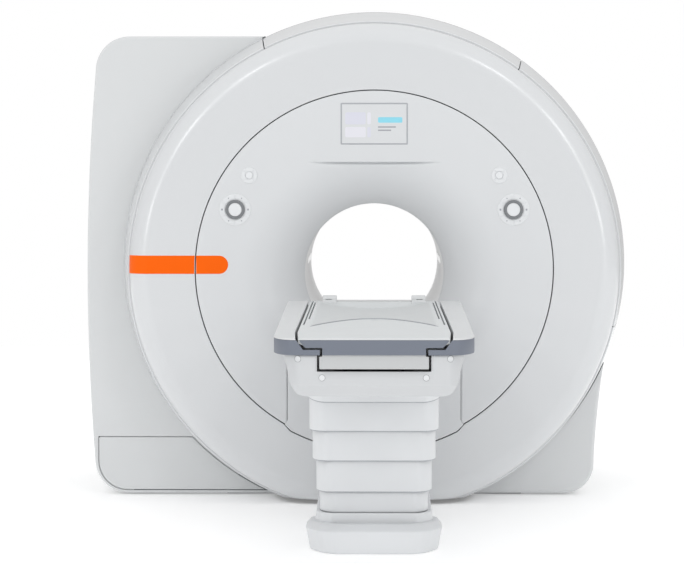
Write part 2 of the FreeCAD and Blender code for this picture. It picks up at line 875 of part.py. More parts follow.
def service_outline(grow):
    """Service panel seen from the front: it follows the rim on the right and the cover's corner on the left."""
    radius = d.rim_radius + 2 * d.seam_gap + wall - grow
    top, bottom = d.service_top + grow, d.service_bottom - grow
    corner = d.service_corner + grow
    left = d.service_left + grow
    return [
        (-chord(radius, d.rim_height - bottom), bottom),
        (-chord(radius, d.rim_height - top), top, -radius),
        (-left, top),
        (-(left - grow) - grow, bottom + corner),
        (-(left - corner), bottom, corner),
    ]


def make_side_covers():
    """Two cabinet shells that close the machine's sides behind the round front."""
    bite = d.rim_radius + d.seam_gap
    rear = as_size(-d.box_rear)
    for name, shape in (("left", left_outline), ("right", right_outline)):
        skin = along_y(f"side_skin_{name}", shape(as_size(0), d.box_bottom), d.shoulder_depth, rear)
        hollow = along_y(f"side_hollow_{name}", shape(wall, d.box_bottom - 1), d.shoulder_depth - wall, rear + wall)
        outer = cut(f"side_outer_{name}", skin, [
            cylinder_y(f"side_bite_{name}", bite, (box_front - 1, d.box_rear + 1), 0, d.rim_height)])
        inner = cut(f"side_inner_{name}", hollow, [
            cylinder_y(f"side_wall_{name}", bite + wall, (box_front - 1, d.box_rear + 1), 0, d.rim_height)])
        limits = (-d.rim_radius, 0) if name == "left" else (0, d.rim_radius)
        under = box(f"side_under_{name}", limits, (box_front + wall, d.box_rear - wall),
                    (-FAR, d.frame_height + d.floor_gap))
        tools = [inner, under]
        if name == "left":
            tools.append(along_y("service_window", service_outline(d.seam_gap),
                                 d.shoulder_depth + 1, d.shoulder_depth - wall - 1))
        keep(cut(f"side_cut_{name}", outer, tools), f"side_cover_{name}")
    plate = along_y("service_plate", service_outline(as_size(0)), d.shoulder_depth, d.shoulder_depth - wall)
    keep(plate, "service_panel")


def make_rear_cover():
    """Rear drum end: a rolled edge, a flat face, and a mouth like the front's."""
    rear, roll = d.rear_depth, d.rear_roll
    start = d.rim_rear + d.seam_gap
    shell = turned("rear_shell", [(rear, d.rear_funnel)]
                   + bend(rear - roll, d.rim_radius - roll, roll, 90, 0, 3)
                   + [(start, d.rim_radius), (start, d.rim_radius - wall), (rear - roll, d.rim_radius - wall),
                      (rear - wall, d.rim_radius - roll), (rear - wall, d.rear_funnel)], z=d.rim_height)
    wide = d.rear_funnel + d.rim_height - bore
    mouth = trumpet("rear_funnel", rear, liner_half + d.seat_gap, wide, wide + d.rear_overlap)
    opening = cylinder_y("rear_opening", wide, (liner_half, rear + 1), 0, bore)
    drum = cut("rear_drum", shell, [opening])
    keep(cut("rear_cut", fuse("rear_whole", [drum, mouth]), [floor_tool("rear_floor")]), "rear_cover")


def make_stripe():
    """Two thin stripes: one wraps the ring's rolled edge, the other ends round on the panel."""
    skin = d.stripe_wall
    low, high = d.stripe_height - d.stripe_width / 2, d.stripe_height + d.stripe_width / 2
    band = turned("stripe_skin", [(face, ring_inner + 2)] + front_roll(as_size(0)) + front_roll(skin)[::-1]
                  + [(face - skin, ring_inner + 2)], z=d.disc_height)
    slab = box("stripe_slab", (-FAR, 0), (-FAR, FAR), (low, high))
    keep(common("stripe_common", band, slab), "stripe_ring")
    half = d.stripe_width / 2
    start = d.panel_radius - 2
    keep(along_y("stripe_plate", [
        (-start, low),
        (-(d.stripe_end + half), low),
        (-d.stripe_end, d.stripe_height, half),
        (-(d.stripe_end + half), high, half),
        (-start, high),
    ], d.face_depth + skin, d.face_depth), "stripe_panel")


def make_display():
    """Flush display in the panel: a thin frame around a screen."""
    half, rise, edge = d.display_width / 2, d.display_rise / 2, d.bezel_width
    z = d.display_height
    outer = box("bezel_outer", (-half, half), (face - 1, face + d.bezel_depth), (z - rise, z + rise))
    opening = box("bezel_window", (-(half - edge), half - edge), (face - 2, face + d.bezel_depth + 1),
                  (z - rise + edge, z + rise - edge))
    keep(cut("bezel_cut", outer, [opening]), "display_bezel")
    inset = edge + d.seat_gap
    keep(box("screen", (-(half - inset), half - inset), (face, face + d.screen_wall),
             (z - rise + inset, z + rise - inset)), "display_screen")


def dial(name, radius, sides, proud, rear, x, z):
    """A turning or pressing knob: a short prism with many narrow flats."""
    corners = [turned_point(radius, as_size(360 / sides * i)) for i in range(sides)]
    knob = along_y(name, corners, proud, -rear)
    return place(knob, x, face + rear, z)


def make_controls():
    """Round controls each side of the bore: a key ring with a dial, and above it one with a button."""
    floor = d.control_floor
    large, small = [], []
    for name, side in LEFT_AND_RIGHT:
        x, z = side * d.control_offset, d.control_height
        hole = d.dial_radius + d.running_gap
        large.append(turned(f"unit_{name}", [
            (floor, 0), (floor, d.control_stub), (0, d.control_stub), (0, d.keypad_radius),
            (-d.keypad_wall, d.keypad_radius), (-d.keypad_wall, hole), (floor - wall, hole), (floor - wall, 0),
        ], x, face, z))
        rear = floor - wall - d.seat_gap
        keep(dial(f"dial_turn_{name}", d.dial_radius, DIAL_SIDES, d.dial_proud, rear, x, z), f"dial_{name}")
        x, z = side * d.small_offset, d.small_height
        hole = d.button_radius + d.seat_gap
        small.append(turned(f"small_unit_{name}", [
            (floor, 0), (floor, d.small_radius), (-d.keypad_wall, d.small_radius), (-d.keypad_wall, hole),
            (floor - wall, hole), (floor - wall, 0)], x, face, z))
        keep(dial(f"button_turn_{name}", d.button_radius, BUTTON_SIDES, d.button_proud, rear - d.button_travel, x, z),
             f"button_{name}")
    keep(fuse("large_units", large), "control_units")
    keep(fuse("small_units", small), "small_control_units")


def make_deck():
    """Channel in the bore that the table top glides on, with legs cut to the bore tube."""
    top = keel_height - d.seat_gap
    half, skin = d.deck_half, d.deck_wall
    rear = liner_half - skin
    slab = box("deck_slab", (-half, half), (-d.deck_front, rear), (d.deck_leg_height, top))
    under = box("deck_under", (-(half - d.deck_leg), half - d.deck_leg), (-d.deck_front - 1, rear + 1),
                (d.deck_leg_height - 1, top - skin))
    shape = cylinder_y("deck_round", d.bore_radius - d.seat_gap, (-d.deck_front, rear), 0, bore)
    keep(common("deck_common", cut("deck_channel", slab, [under]), shape), "bore_deck")


def make_table_base():
    """Base plate on the floor, the foot cover with its plinth, and the lift column."""
    front, rear = d.foot_front, d.foot_rear
    keep(box("plate", (-d.plate_half, d.plate_half), (-(front - d.foot_cut_depth), box_front + wall), (0, d.plate_wall)),
         "table_base_plate")

    def plan(half, front_edge, back):
        return [
            (half, -back), (-half, -back), (-half, -(front_edge - d.foot_cut_depth)),
            (-(half - d.foot_cut_width), -front_edge), (half - d.foot_cut_width, -front_edge),
            (half, -(front_edge - d.foot_cut_depth)),
        ]

    half, flare = d.foot_bottom_half, d.foot_flare
    outer = lofted("foot_skin", [
        (0, plan(half, front, rear)),
        (d.foot_edge_height, plan(half + flare, front + flare, rear)),
        (d.foot_top, plan(half + flare - d.foot_top_inset / 2, front + flare - d.foot_top_inset, rear)),
    ])
    plinth = upright("plinth", rounded(d.plinth_half, d.plinth_front, d.column_rear, d.shell_corner),
                     d.foot_top - 1, d.plinth_top)
    hollow = upright("foot_hollow", plan(half - d.foot_wall, front - d.foot_wall, rear + d.foot_wall),
                     as_size(-1), d.foot_edge_height)
    gap = d.seat_gap
    slot = box("foot_slot", (-d.plate_half - gap, d.plate_half + gap), (-(rear + d.foot_wall + 1), -(rear - 1)),
               (-1, d.plate_wall + gap))
    middle = -(d.column_front + d.column_rear) / 2
    half = d.lift_half + gap
    hole = box("foot_hole", (-half, half), (middle - half, middle + half), (0, d.plinth_top + 1))
    keep(cut("foot_cut", fuse("foot_whole", [outer, plinth]), [hollow, slot, hole]), "foot_cover")
    half, bar = d.lift_half, d.lift_half - d.lift_wall - d.running_gap
    outer = box("lift_tube", (-half, half), (middle - half, middle + half), (d.plate_wall, d.lift_column_top))
    half = half - d.lift_wall
    inner = box("lift_bore", (-half, half), (middle - half, middle + half),
                (d.plate_wall + wall, d.lift_column_top + 1))
    keep(cut("lift_column_cut", outer, [inner]), "lift_column")
    keep(box("lift_bar", (-bar, bar), (middle - bar, middle + bar), (d.lift_rod_bottom, d.cross_bottom)), "lift_rod")
    keep(box("cross", (-(d.guide_offset - d.guide_width / 2), d.guide_offset - d.guide_width / 2),
             (middle - d.cross_length / 2, middle + d.cross_length / 2),
             (d.cross_bottom, d.cross_bottom + d.cross_wall)), "lift_crossmember")


def make_shells():
    """Four telescopic covers round the lift, each a running clearance inside the next one out."""
    stages = [
        (1, d.shell_1_half, d.shell_1_bottom, d.shell_1_top),
        (2, d.shell_2_half, d.shell_2_bottom, d.shell_2_top),
        (3, d.shell_3_half, d.shell_3_bottom, d.shell_3_top),
        (4, d.shell_4_half, d.plinth_top, d.shell_4_top),
    ]
    for i, (number, half, bottom, top) in enumerate(stages):
        step = d.shell_1_half - half
        skin = half - stages[i + 1][1] - d.seat_gap if i < 3 else d.shell_wall
        front, rear = d.column_front - step, d.column_rear + step
        body = upright(f"shell_skin_{number}", rounded(half, front, rear, d.shell_corner), bottom, top)
        hollow = upright(f"shell_hollow_{number}",
                         rounded(half - skin, front - skin, rear + skin, d.shell_corner - skin), bottom - 1, top + 1)
        keep(cut(f"shell_cut_{number}", body, [hollow]), f"shell_{number}")


def make_neck():
    """Tapered collar that joins the housing to the first column cover."""
    def sections(inset):
        stations = [(d.neck_bottom, d.shell_1_half + d.neck_wall + d.seat_gap), (d.housing_bottom, d.neck_top_half)]
        made = []
        for height, half in stations:
            grow = half - d.shell_1_half - inset
            made.append((height, rounded(d.shell_1_half + grow, d.column_front + grow, d.column_rear - grow,
                                         d.shell_corner)))
        return made

    keep(cut("neck_cut", lofted("neck_skin", sections(as_size(0))), [lofted("neck_hollow", sections(d.neck_wall))]),
         "neck_cover")


def housing_outline(inset, top):
    """Housing seen from the front: a tub with tapering sides and a chamfered keel."""
    right = [
        (d.housing_top_half - inset, top),
        (d.housing_mid_half - inset, d.housing_mid_height),
        (d.housing_low_half - inset, d.housing_low_height),
        (d.housing_chamfer_half - inset, d.housing_chamfer_height + inset / 2),
        (d.housing_bottom_half - inset, d.housing_bottom + inset),
    ]
    return right + [(-x, z) for x, z in reversed(right)]


def make_housing():
    """Tub under the table top: open above, notched in front for the moving apron."""
    front = d.table_front - d.bumper_wall
    rear = d.housing_rear
    skin = along_y("housing_skin", housing_outline(as_size(0), d.bumper_bottom), front + 1, rear)
    plan = upright("housing_plan", [
        (d.housing_top_half + 1, -rear + 1), (-(d.housing_top_half + 1), -rear + 1),
        (-(d.housing_top_half + 1), -(front - d.frame_corner)),
        (-(d.housing_top_half - d.frame_corner), -front, d.frame_corner * 1.02),
        (d.housing_top_half - d.frame_corner, -front),
        (d.housing_top_half + 1, -(front - d.frame_corner), d.frame_corner * 1.02),
    ], d.housing_bottom - 1, d.bumper_bottom + 1)
    skin = common("housing_round", skin, plan)
    hollow = along_y("housing_hollow", housing_outline(d.housing_wall, d.bumper_bottom + 1),
                     front - d.housing_wall * 2, rear + d.housing_wall)
    notch_half = d.apron_half + d.apron_gap
    notch = box("housing_notch", (-notch_half, notch_half), (-front - 1, -(front - d.end_depth)),
                (d.apron_bottom - d.apron_gap, d.bumper_bottom + 1))
    middle = -(d.column_front + d.column_rear) / 2
    half = d.lift_half - d.lift_wall + d.seam_gap
    hole = box("housing_hole", (-half, half), (middle - half, middle + half),
               (d.housing_bottom - 1, d.housing_bottom + d.housing_wall + 1))
    mouth_half = d.top_waist + d.top_gap
    mouth = box("housing_mouth", (-mouth_half, mouth_half), (-(rear + d.housing_wall + 1), -(rear - 1)),
                (d.guide_top, d.bumper_bottom + 1))
    keep(cut("housing_cut", skin, [hollow, notch, hole, mouth]), "table_housing")
    floor = d.housing_bottom + d.housing_wall
    half = d.guide_width / 2
    rails = [box(f"guide_{name}", (side * d.guide_offset - half, side * d.guide_offset + half),
                 (-d.guide_front, -d.guide_rear), (floor, d.guide_top)) for name, side in LEFT_AND_RIGHT]
    keep(fuse("guide_pair", rails), "guide_rails")
    keep(box("carriage_block", (-d.carriage_half, d.carriage_half),
             (-d.carriage_front, -(d.carriage_front - d.carriage_length)),
             (d.guide_top + d.seat_gap, keel_height)), "carriage")
    axis = floor + d.motor_radius
    motor = cylinder_y("motor_can", d.motor_radius, (-(d.motor_front + d.motor_length), -d.motor_front),
                       d.motor_offset, axis)
    foot = box("motor_foot", (d.motor_offset - d.motor_radius, d.motor_offset + d.motor_radius),
               (-(d.motor_front + d.motor_length), -d.motor_front), (floor, axis - d.motor_radius / 2))
    keep(fuse("motor_whole", [motor, foot]), "drive_motor")


def frame_plan(inset, inner, side):
    """Side frame in plan, from its inner edge round the front corner to the rear."""
    front, corner = d.table_front - inset, d.frame_corner - inset
    outer = d.frame_front_half - inset
    return sided(side, [
        (inner, -front),
        (outer - corner, -front),
        (outer, -(front - corner), corner),
        (d.frame_rear_half - inset, -d.frame_widest),
        (d.frame_rear_half - inset, -d.frame_rear),
        (inner, -d.frame_rear),
    ])


def make_side_frames():
    """Long covers each side of the table top, each with its slate bumper round the front corner."""
    strip = d.bumper_wall
    inner = d.top_half + d.top_gap
    step = d.apron_half - strip / 2
    for name, side in LEFT_AND_RIGHT:
        cap = upright(f"frame_cap_{name}", frame_plan(as_size(0), inner, side), d.bumper_top, d.top_height)
        core = upright(f"frame_core_{name}", frame_plan(strip, inner, side), d.bumper_bottom, d.bumper_top)
        hollow = upright(f"frame_hollow_{name}", sided(side, [
            (inner + d.side_wall, -(d.table_front - d.end_depth)),
            (d.frame_front_half - strip - d.side_wall, -(d.table_front - d.end_depth)),
            (d.frame_rear_half - strip - d.side_wall, -d.frame_widest),
            (d.frame_rear_half - strip - d.side_wall, -(d.frame_rear + d.side_wall)),
            (inner + d.side_wall, -(d.frame_rear + d.side_wall)),
        ]), d.bumper_bottom - 1, d.top_height - d.side_wall)
        nose = upright(f"frame_nose_{name}", sided(side, [
            (step, -(d.table_front - strip)), (inner + 1, -(d.table_front - strip)),
            (inner + 1, -(d.table_front - d.end_depth + d.apron_gap)),
            (step, -(d.table_front - d.end_depth + d.apron_gap)),
        ]), d.bumper_bottom, d.lip_underside - d.seam_gap)
        keep(cut(f"frame_cut_{name}", fuse(f"frame_whole_{name}", [cap, core, nose]), [hollow]), f"side_frame_{name}")
        outer = upright(f"bumper_outer_{name}", frame_plan(as_size(0), step, side), d.bumper_bottom, d.bumper_top)
        inside = upright(f"bumper_inside_{name}", frame_plan(strip, step - 2 * strip, side),
                         d.bumper_bottom - 1, d.bumper_top + 1)
        notch = along_y(f"bumper_notch_{name}", sided(side, [
            (d.bumper_notch_top, d.bumper_top + 1), (d.bumper_notch, d.lip_underside - d.seam_gap),
            (0, d.lip_underside - d.seam_gap), (0, d.bumper_top + 1),
        ]), d.table_front + 1, d.table_front - strip - 1)
        keep(cut(f"bumper_cut_{name}", outer, [inside, notch]), f"bumper_{name}")


def make_table_top():
    """Moulded board with a concave cradle, a flat front tongue, edge slots and a tapered front."""
    top, half = d.top_height, d.top_half
    side = [
        (half, top), (half, top - d.top_edge), (d.top_waist, top - d.top_waist_drop),
        (d.top_keel, keel_height),
    ]
    front = d.table_front - d.bumper_wall
    board = along_y("board", list(reversed(side)) + [(-x, z) for x, z in side], front, d.top_rear)
    lip = box("board_lip", (-half, half), (-d.table_front, -front + 1), (d.bumper_top, top))
    trough_radius = (d.cradle_half * d.cradle_half + d.cradle_drop * d.cradle_drop) / (2 * d.cradle_drop)
    trough = cylinder_y("trough", trough_radius, (-d.cradle_end, -d.top_rear + 1), 0,
                        top - d.cradle_drop + trough_radius)
    wide, shoulder = d.cradle_half + d.cradle_shoulder, -(d.cradle_end - d.tongue_shoulder)
    tongue = upright("tongue", [
        (-wide, -d.cradle_end - 1), (wide, -d.cradle_end - 1), (wide, -d.cradle_end),
        (d.tongue_neck, shoulder, d.tongue_side_arc),
        (-d.tongue_neck, shoulder, d.tongue_tip_arc),
        (-wide, -d.cradle_end, d.tongue_side_arc),
    ], top - 2 * d.cradle_drop, top + 1)
    cradle = cut("cradle", trough, [tongue])
    tools = [cradle, box("end_under", (-FAR, FAR), (-front - 1, -(front - d.end_depth)), (-FAR, d.lip_underside))]
    for name, way in LEFT_AND_RIGHT:
        tools.append(upright(f"taper_{name}", sided(way, [
            (half, -d.taper_start), (half - d.taper_inset, -d.table_front - 1), (half + 1, -d.table_front - 1),
            (half + 1, -d.taper_start)]), keel_height, top + 1))
        for row, middle, rear, end in (("outer", d.outer_slot, d.outer_slot_rear, d.outer_slot_front),
                                       ("inner", d.inner_slot, d.inner_slot_rear, d.inner_slot_front)):
            low, high = way * middle - d.slot_width / 2, way * middle + d.slot_width / 2
            tools.append(box(f"slot_{row}_{name}", (low, high), (-end, -rear), (top - d.slot_drop, top + 1)))
    keep(cut("table_top_cut", fuse("board_whole", [board, lip]), tools), "table_top")


def make_table_end():
    """Moving end block under the board's lip, and its slate bumper."""
    front = d.table_front - d.bumper_wall
    rear = front - d.end_depth + d.apron_gap
    step, low = d.apron_half, d.apron_bottom
    block = [
        (d.block_half, d.lip_underside - d.seat_gap), (d.block_half, d.apron_top), (step, d.apron_top), (step, low)]
    corners = list(reversed(block)) + [(-x, z) for x, z in block]
    keep(along_y("end_block", corners, front, rear), "table_end_block")
    gap = d.seam_gap
    strip = [
        (d.bumper_notch_top - gap, d.bumper_top - d.seat_gap), (d.bumper_notch - gap, d.lip_underside),
        (d.block_half, d.lip_underside), (d.block_half, d.bumper_bottom)]
    corners = list(reversed(strip)) + [(-x, z) for x, z in strip]
    keep(along_y("bumper_strip", corners, d.table_front, front), "bumper_center")


def make_coil_sockets():
    """Two connector housings at the head end, standing in the cradle."""
    top = d.top_height
    trough_radius = (d.cradle_half * d.cradle_half + d.cradle_drop * d.cradle_drop) / (2 * d.cradle_drop)
    for name, side in LEFT_AND_RIGHT:
        inner, outer = d.socket_inner, d.socket_outer
        low, high = top - d.cradle_drop, d.socket_top
        edge = 6
        corners = sided(side, [
            (inner, low), (outer, low), (outer, high - edge * 2), (outer - edge, high), (inner + edge, high),
            (inner, high - edge)])
        block = along_y(f"socket_block_{name}", corners, d.socket_front, d.socket_rear)
        seat = cylinder_y(f"socket_seat_{name}", trough_radius, (-FAR, 0), 0,
                          top - d.cradle_drop + trough_radius + d.seat_gap)
        keep(common(f"socket_common_{name}", block, seat), f"coil_socket_{name}")


def build():
    make_magnet()
    make_base_frame()
    make_front_frame()
    make_front_ring()
    make_front_panel()
    make_bridge_cover()
    make_rim()
    make_side_covers()
    make_rear_cover()
    make_stripe()
    make_display()
    make_controls()
    make_deck()
    make_table_base()
    make_shells()
    make_neck()
    make_housing()
    make_side_frames()
    make_table_top()
    make_table_end()
    make_coil_sockets()


def check_and_write():
    """Stop if any object failed to compute, then write each sub-part."""
    doc.recompute()
    failed = [thing.Label for thing in doc.Objects if "Invalid" in thing.State or "Error" in thing.State]
    failed += [thing.Label for thing in nodes
               if thing.Shape.isNull() or not thing.Shape.isValid() or not thing.Shape.Solids]
    if failed:
        raise RuntimeError(f"did not compute: {', '.join(failed)}")
    os.makedirs("parts", exist_ok=True)
    for thing in nodes:
        thing.Shape.exportStep(f"parts/{thing.Label}.step")
        print(thing.Label, len(thing.Shape.Solids), round(thing.Shape.Volume / 1e6, 3))


build()
check_and_write()
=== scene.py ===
"""Looks of a hospital MRI scanner with its patient table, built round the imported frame.

Lengths are in millimetres in the frame's axes: X to the right, Y into the bore, Z up.
"""
import json
import math

import bmesh
import bpy
import numpy as np
from mathutils import Matrix


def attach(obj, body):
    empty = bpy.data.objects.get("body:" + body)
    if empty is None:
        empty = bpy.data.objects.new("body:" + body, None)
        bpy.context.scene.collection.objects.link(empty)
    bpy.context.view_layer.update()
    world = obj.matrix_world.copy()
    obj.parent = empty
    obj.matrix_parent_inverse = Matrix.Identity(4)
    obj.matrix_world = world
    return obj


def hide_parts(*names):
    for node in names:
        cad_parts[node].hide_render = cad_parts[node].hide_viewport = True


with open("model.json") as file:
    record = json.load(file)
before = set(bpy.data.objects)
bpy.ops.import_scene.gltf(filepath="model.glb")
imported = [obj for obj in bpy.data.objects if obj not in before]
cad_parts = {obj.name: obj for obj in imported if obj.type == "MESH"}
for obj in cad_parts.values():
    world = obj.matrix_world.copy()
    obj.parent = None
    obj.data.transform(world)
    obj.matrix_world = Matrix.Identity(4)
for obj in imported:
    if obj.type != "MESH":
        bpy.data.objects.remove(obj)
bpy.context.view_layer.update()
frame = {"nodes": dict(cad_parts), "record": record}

MM = 0.001
# Heights of the three axes along the bore: bore tube, round front, rim behind it
BORE_Z, DISC_Z, RIM_Z = 990.0, 1010.0, 1025.0
FLOOR_EDGE = 20.0
FACE_Y, FRAME_Y, SHOULDER_Y, REAR_Y = -810.0, -718.0, -450.0, 600.0
PANEL_R, RING_R, ROLL_R, RIM_R, COLLAR_R = 763.0, 1053.0, 92.0, 1098.0, 1062.0
BORE_R, FLARE_R, FLARE_SIZE, FLARE_Y = 300.0, 560.0, 291.5, -518.5
CREASE_Z = 1467.0
SEAM = 4.0
# The table: the board's top and ends, the cradle's half width and tip, and the housing under them
BOARD_TOP, BOARD_REAR, BOARD_FRONT = 886.0, -980.0, -3432.0
CRADLE_HALF, CRADLE_TIP = 237.0, -2346.0
HOUSING_TOP, HOUSING_LOW, HOUSING_FRONT, HOUSING_REAR = 829.0, 686.0, -3424.0, -900.0
NOTCH_Z = 773.0


# ---------------------------------------------------------------- meshes

def quads(rows, columns, wrap_rows, wrap_columns):
    """Faces of a grid of points: each joins four neighbours; a wrapped side joins its first line again."""
    index = np.arange(rows * columns).reshape(rows, columns)
    if wrap_rows:
        index = np.concatenate([index, index[:1]])
    if wrap_columns:
        index = np.concatenate([index, index[:, :1]], axis=1)
    return np.stack([index[:-1, :-1], index[:-1, 1:], index[1:, 1:], index[1:, :-1]], axis=-1).reshape(-1, 4)


def face_vectors(mesh):
    """Normals and areas of all faces as arrays."""
    normal, area = np.empty(len(mesh.polygons) * 3), np.empty(len(mesh.polygons))
    mesh.polygons.foreach_get("normal", normal)
    mesh.polygons.foreach_get("area", area)
    return normal.reshape(-1, 3), area


def surface(name, grids, body, slot, stands_for=(), wrap_rows=False, wrap_columns=False, caps=False,
            facing=None, wall=0.0, floor=None, crease=32, face_at=None, more=(), tubs=(), even=False,
            look=None):
    """A piece from grids of points (rows, columns, xyz) in millimetres, merged where they meet.

    The grids in more wrap neither way; each of the tubs wraps round and is closed at its last row.
    A closed piece has its normals recalculated. An open one is turned so that the sum of its area
    vectors points along facing, after a recalculation if even is set, and gets a wall behind it.
    Open loops at the depth face_at are joined by one flat face with a hole in it. The finish is
    that of the slot, or look where it is given.
    """
    parts = [(grid, wrap_rows, wrap_columns, caps, caps) for grid in grids]
    parts += [(grid, False, False, False, False) for grid in more]
    parts += [(grid, False, True, False, True) for grid in tubs]
    points, faces, start = [], [], 0
    for grid, by_row, by_column, first_cap, last_cap in parts:
        rows, columns = grid.shape[:2]
        points.append(grid.reshape(-1, 3))
        faces += (quads(rows, columns, by_row, by_column) + start).tolist()
        if first_cap:
            faces.append(list(range(start, start + columns)))
        start += rows * columns
        if last_cap:
            faces.append(list(range(start - columns, start)))
    mesh = bpy.data.meshes.new(name)
    mesh.from_pydata((np.concatenate(points) * MM).tolist(), [], faces)
    work = bmesh.new()
    work.from_mesh(mesh)
    bmesh.ops.remove_doubles(work, verts=work.verts, dist=2e-6)
    bmesh.ops.dissolve_degenerate(work, dist=2e-6, edges=work.edges)
    if floor is not None:
        bmesh.ops.bisect_plane(work, geom=work.verts[:] + work.edges[:] + work.faces[:], dist=1e-6,
                               plane_co=(0, 0, floor * MM), plane_no=(0, 0, 1), clear_inner=True)
    if face_at is not None:
        loops = [edge for edge in work.edges if edge.is_boundary
                 and all(abs(point.co.y - face_at * MM) < 1e-6 for point in edge.verts)]
        bmesh.ops.triangle_fill(work, use_beauty=True, edges=loops)
    if facing is None or even:
        bmesh.ops.recalc_face_normals(work, faces=work.faces)
    work.to_mesh(mesh)
    work.free()
    mesh.update()
    if facing is not None:
        normal, area = face_vectors(mesh)
        if (normal * area[:, None]).sum(0) @ np.asarray(facing, float) < 0:
            mesh.flip_normals()
    sides = np.empty(len(mesh.polygons), int)
    mesh.polygons.foreach_get("loop_total", sides)
    mesh.polygons.foreach_set("use_smooth", sides <= 4)
    mesh.set_sharp_from_angle(angle=math.radians(crease))
    piece = bpy.data.objects.new(name, mesh)
    bpy.context.scene.collection.objects.link(piece)
    mesh.materials.append(look or FINISHES[slot])
    if wall:
        skin = piece.modifiers.new("wall", "SOLIDIFY")
        skin.thickness, skin.offset = wall * MM, -1
    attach(piece, body)
    if stands_for:
        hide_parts(*stands_for)
    return piece


def turned(profile, columns, centre=(0.0, BORE_Z)):
    """A profile of (radius, y) turned about an axis along Y: x and z are radius times cosine and sine."""
    profile = np.asarray(profile, float)
    angle = 2 * math.pi * np.linspace(0, 1, columns, endpoint=False)
    x = centre[0] + profile[:, :1] * np.cos(angle)
    z = centre[1] + profile[:, :1] * np.sin(angle)
    return np.stack([x, np.broadcast_to(profile[:, 1:], x.shape), z], axis=-1)


def rounded(corners, radius, steps=7):
    """Closed outline of a polygon whose corners are arcs.

    Each arc touches both sides at radius / tan(half the corner's angle) from the corner.
    """
    corners = np.asarray(corners, float)
    radius = np.broadcast_to(np.asarray(radius, float), len(corners))[:, None]
    back, on = np.roll(corners, 1, axis=0) - corners, np.roll(corners, -1, axis=0) - corners
    back /= np.linalg.norm(back, axis=1, keepdims=True)
    on /= np.linalg.norm(on, axis=1, keepdims=True)
    half = np.arccos(np.clip((back * on).sum(1, keepdims=True), -1, 1)) / 2
    middle = (back + on) / np.maximum(np.linalg.norm(back + on, axis=1, keepdims=True), 1e-9)
    centre = corners + middle * radius / np.sin(half)
    first = corners + back * radius / np.tan(half) - centre
    last = corners + on * radius / np.tan(half) - centre
    swing = (math.pi - 2 * half)[:, None]
    t = np.linspace(0, 1, steps + 1)[None, :, None]
    bend = (np.sin((1 - t) * swing) * first[:, None] + np.sin(t * swing) * last[:, None]) / np.sin(swing)
    return (centre[:, None] + bend).reshape(-1, 2)


def inset(outline, depth, weight=1.0):
    """The outline moved inwards by each depth times each point's weight, along its sides' mitre."""
    side = np.roll(outline, -1, axis=0) - outline
    side /= np.maximum(np.linalg.norm(side, axis=1, keepdims=True), 1e-9)
    inwards = np.stack([-side[:, 1], side[:, 0]], axis=1)
    x, y = outline.T
    area = (x * np.roll(y, -1) - np.roll(x, -1) * y).sum()
    inwards *= math.copysign(1, area)
    before = np.roll(inwards, 1, axis=0)
    mitre = (inwards + before) / (1 + (inwards * before).sum(1, keepdims=True)).clip(0.3)
    mitre = mitre * np.reshape(weight, (-1, 1))
    return outline[None] + np.asarray(depth, float)[:, None, None] * mitre[None]


def carried(outline, profile, axis="y", weight=1.0):
    """A profile of (inset, along) carried round a closed outline, whose plane the axis crosses.

    The outline is in (y, z) for the axis x, in (x, z) for y, and in (x, y) for z.
    """
    profile = np.asarray(profile, float)
    flat = inset(np.asarray(outline, float), profile[:, 0], weight)
    along = np.broadcast_to(profile[:, 1:], flat.shape[:2])
    return np.insert(flat, "xyz".index(axis), along, axis=-1)


def solid(name, grids, body, slot, stands_for=(), **more):
    """A closed piece of grids that wrap round and are capped at both ends."""
    return surface(name, grids, body, slot, stands_for, wrap_columns=True, caps=True, **more)


def hoop(name, grids, body, slot, stands_for=(), **more):
    """A closed piece of grids that wrap both ways."""
    return surface(name, grids, body, slot, stands_for, wrap_rows=True, wrap_columns=True, **more)


def plate(name, outline, front, rear, edge, body, slot, stands_for=(), axis="y", crease=40, look=None):
    """A flat piece: an outline with round edges carried between two distances, closed at both."""
    return solid(name, [carried(outline, bar(front, rear, edge), axis)], body, slot, stands_for,
                 crease=crease, look=look)


def sided(points, side):
    """The points on the given side of X = 0."""
    return np.asarray(points, float) * (side, 1)


def bar(start, end, radius, end_radius=None, steps=5):
    """Profile of a bar between two distances with quarter-round edges of the given radii."""
    end_radius = radius if end_radius is None else end_radius
    t = np.linspace(0, math.pi / 2, steps)
    first = np.stack([radius * (1 - np.sin(t)), start + radius * (1 - np.cos(t))], axis=1)
    last = np.stack([end_radius * (1 - np.sin(t)), end - end_radius * (1 - np.cos(t))], axis=1)[::-1]
    return np.concatenate([[(radius * 1.3, start)], first, last, [(end_radius * 1.3, end)]])


def arc(centre, radius, first, last, steps):
    """Points of a circle between two angles in degrees."""
    angle = np.radians(np.linspace(first, last, steps))
    return np.stack([centre[0] + radius * np.cos(angle), centre[1] + radius * np.sin(angle)], axis=1)


def mirrored(points):
    """The points followed by their mirror images across X = 0, in reverse order."""
    points = np.asarray(points, float)
    return np.concatenate([points, (points * (-1, 1))[::-1]])


# ---------------------------------------------------------------- materials

def linear(colour):
    """Scene-linear values of an sRGB colour given from 0 to 255."""
    c = np.asarray(colour, float) / 255
    return tuple(np.where(c <= 0.04045, c / 12.92, ((c + 0.055) / 1.055) ** 2.4)) + (1.0,)


def node(tree, kind, inputs=(), **settings):
    """A shader node with its settings, and its inputs set or linked."""
    made = tree.nodes.new(kind)
    for key, setting in settings.items():
        setattr(made, key, setting)
    for key, value in dict(inputs).items():
        if isinstance(value, bpy.types.NodeSocket):
            tree.links.new(value, made.inputs[key])
        else:
            made.inputs[key].default_value = value
    return made


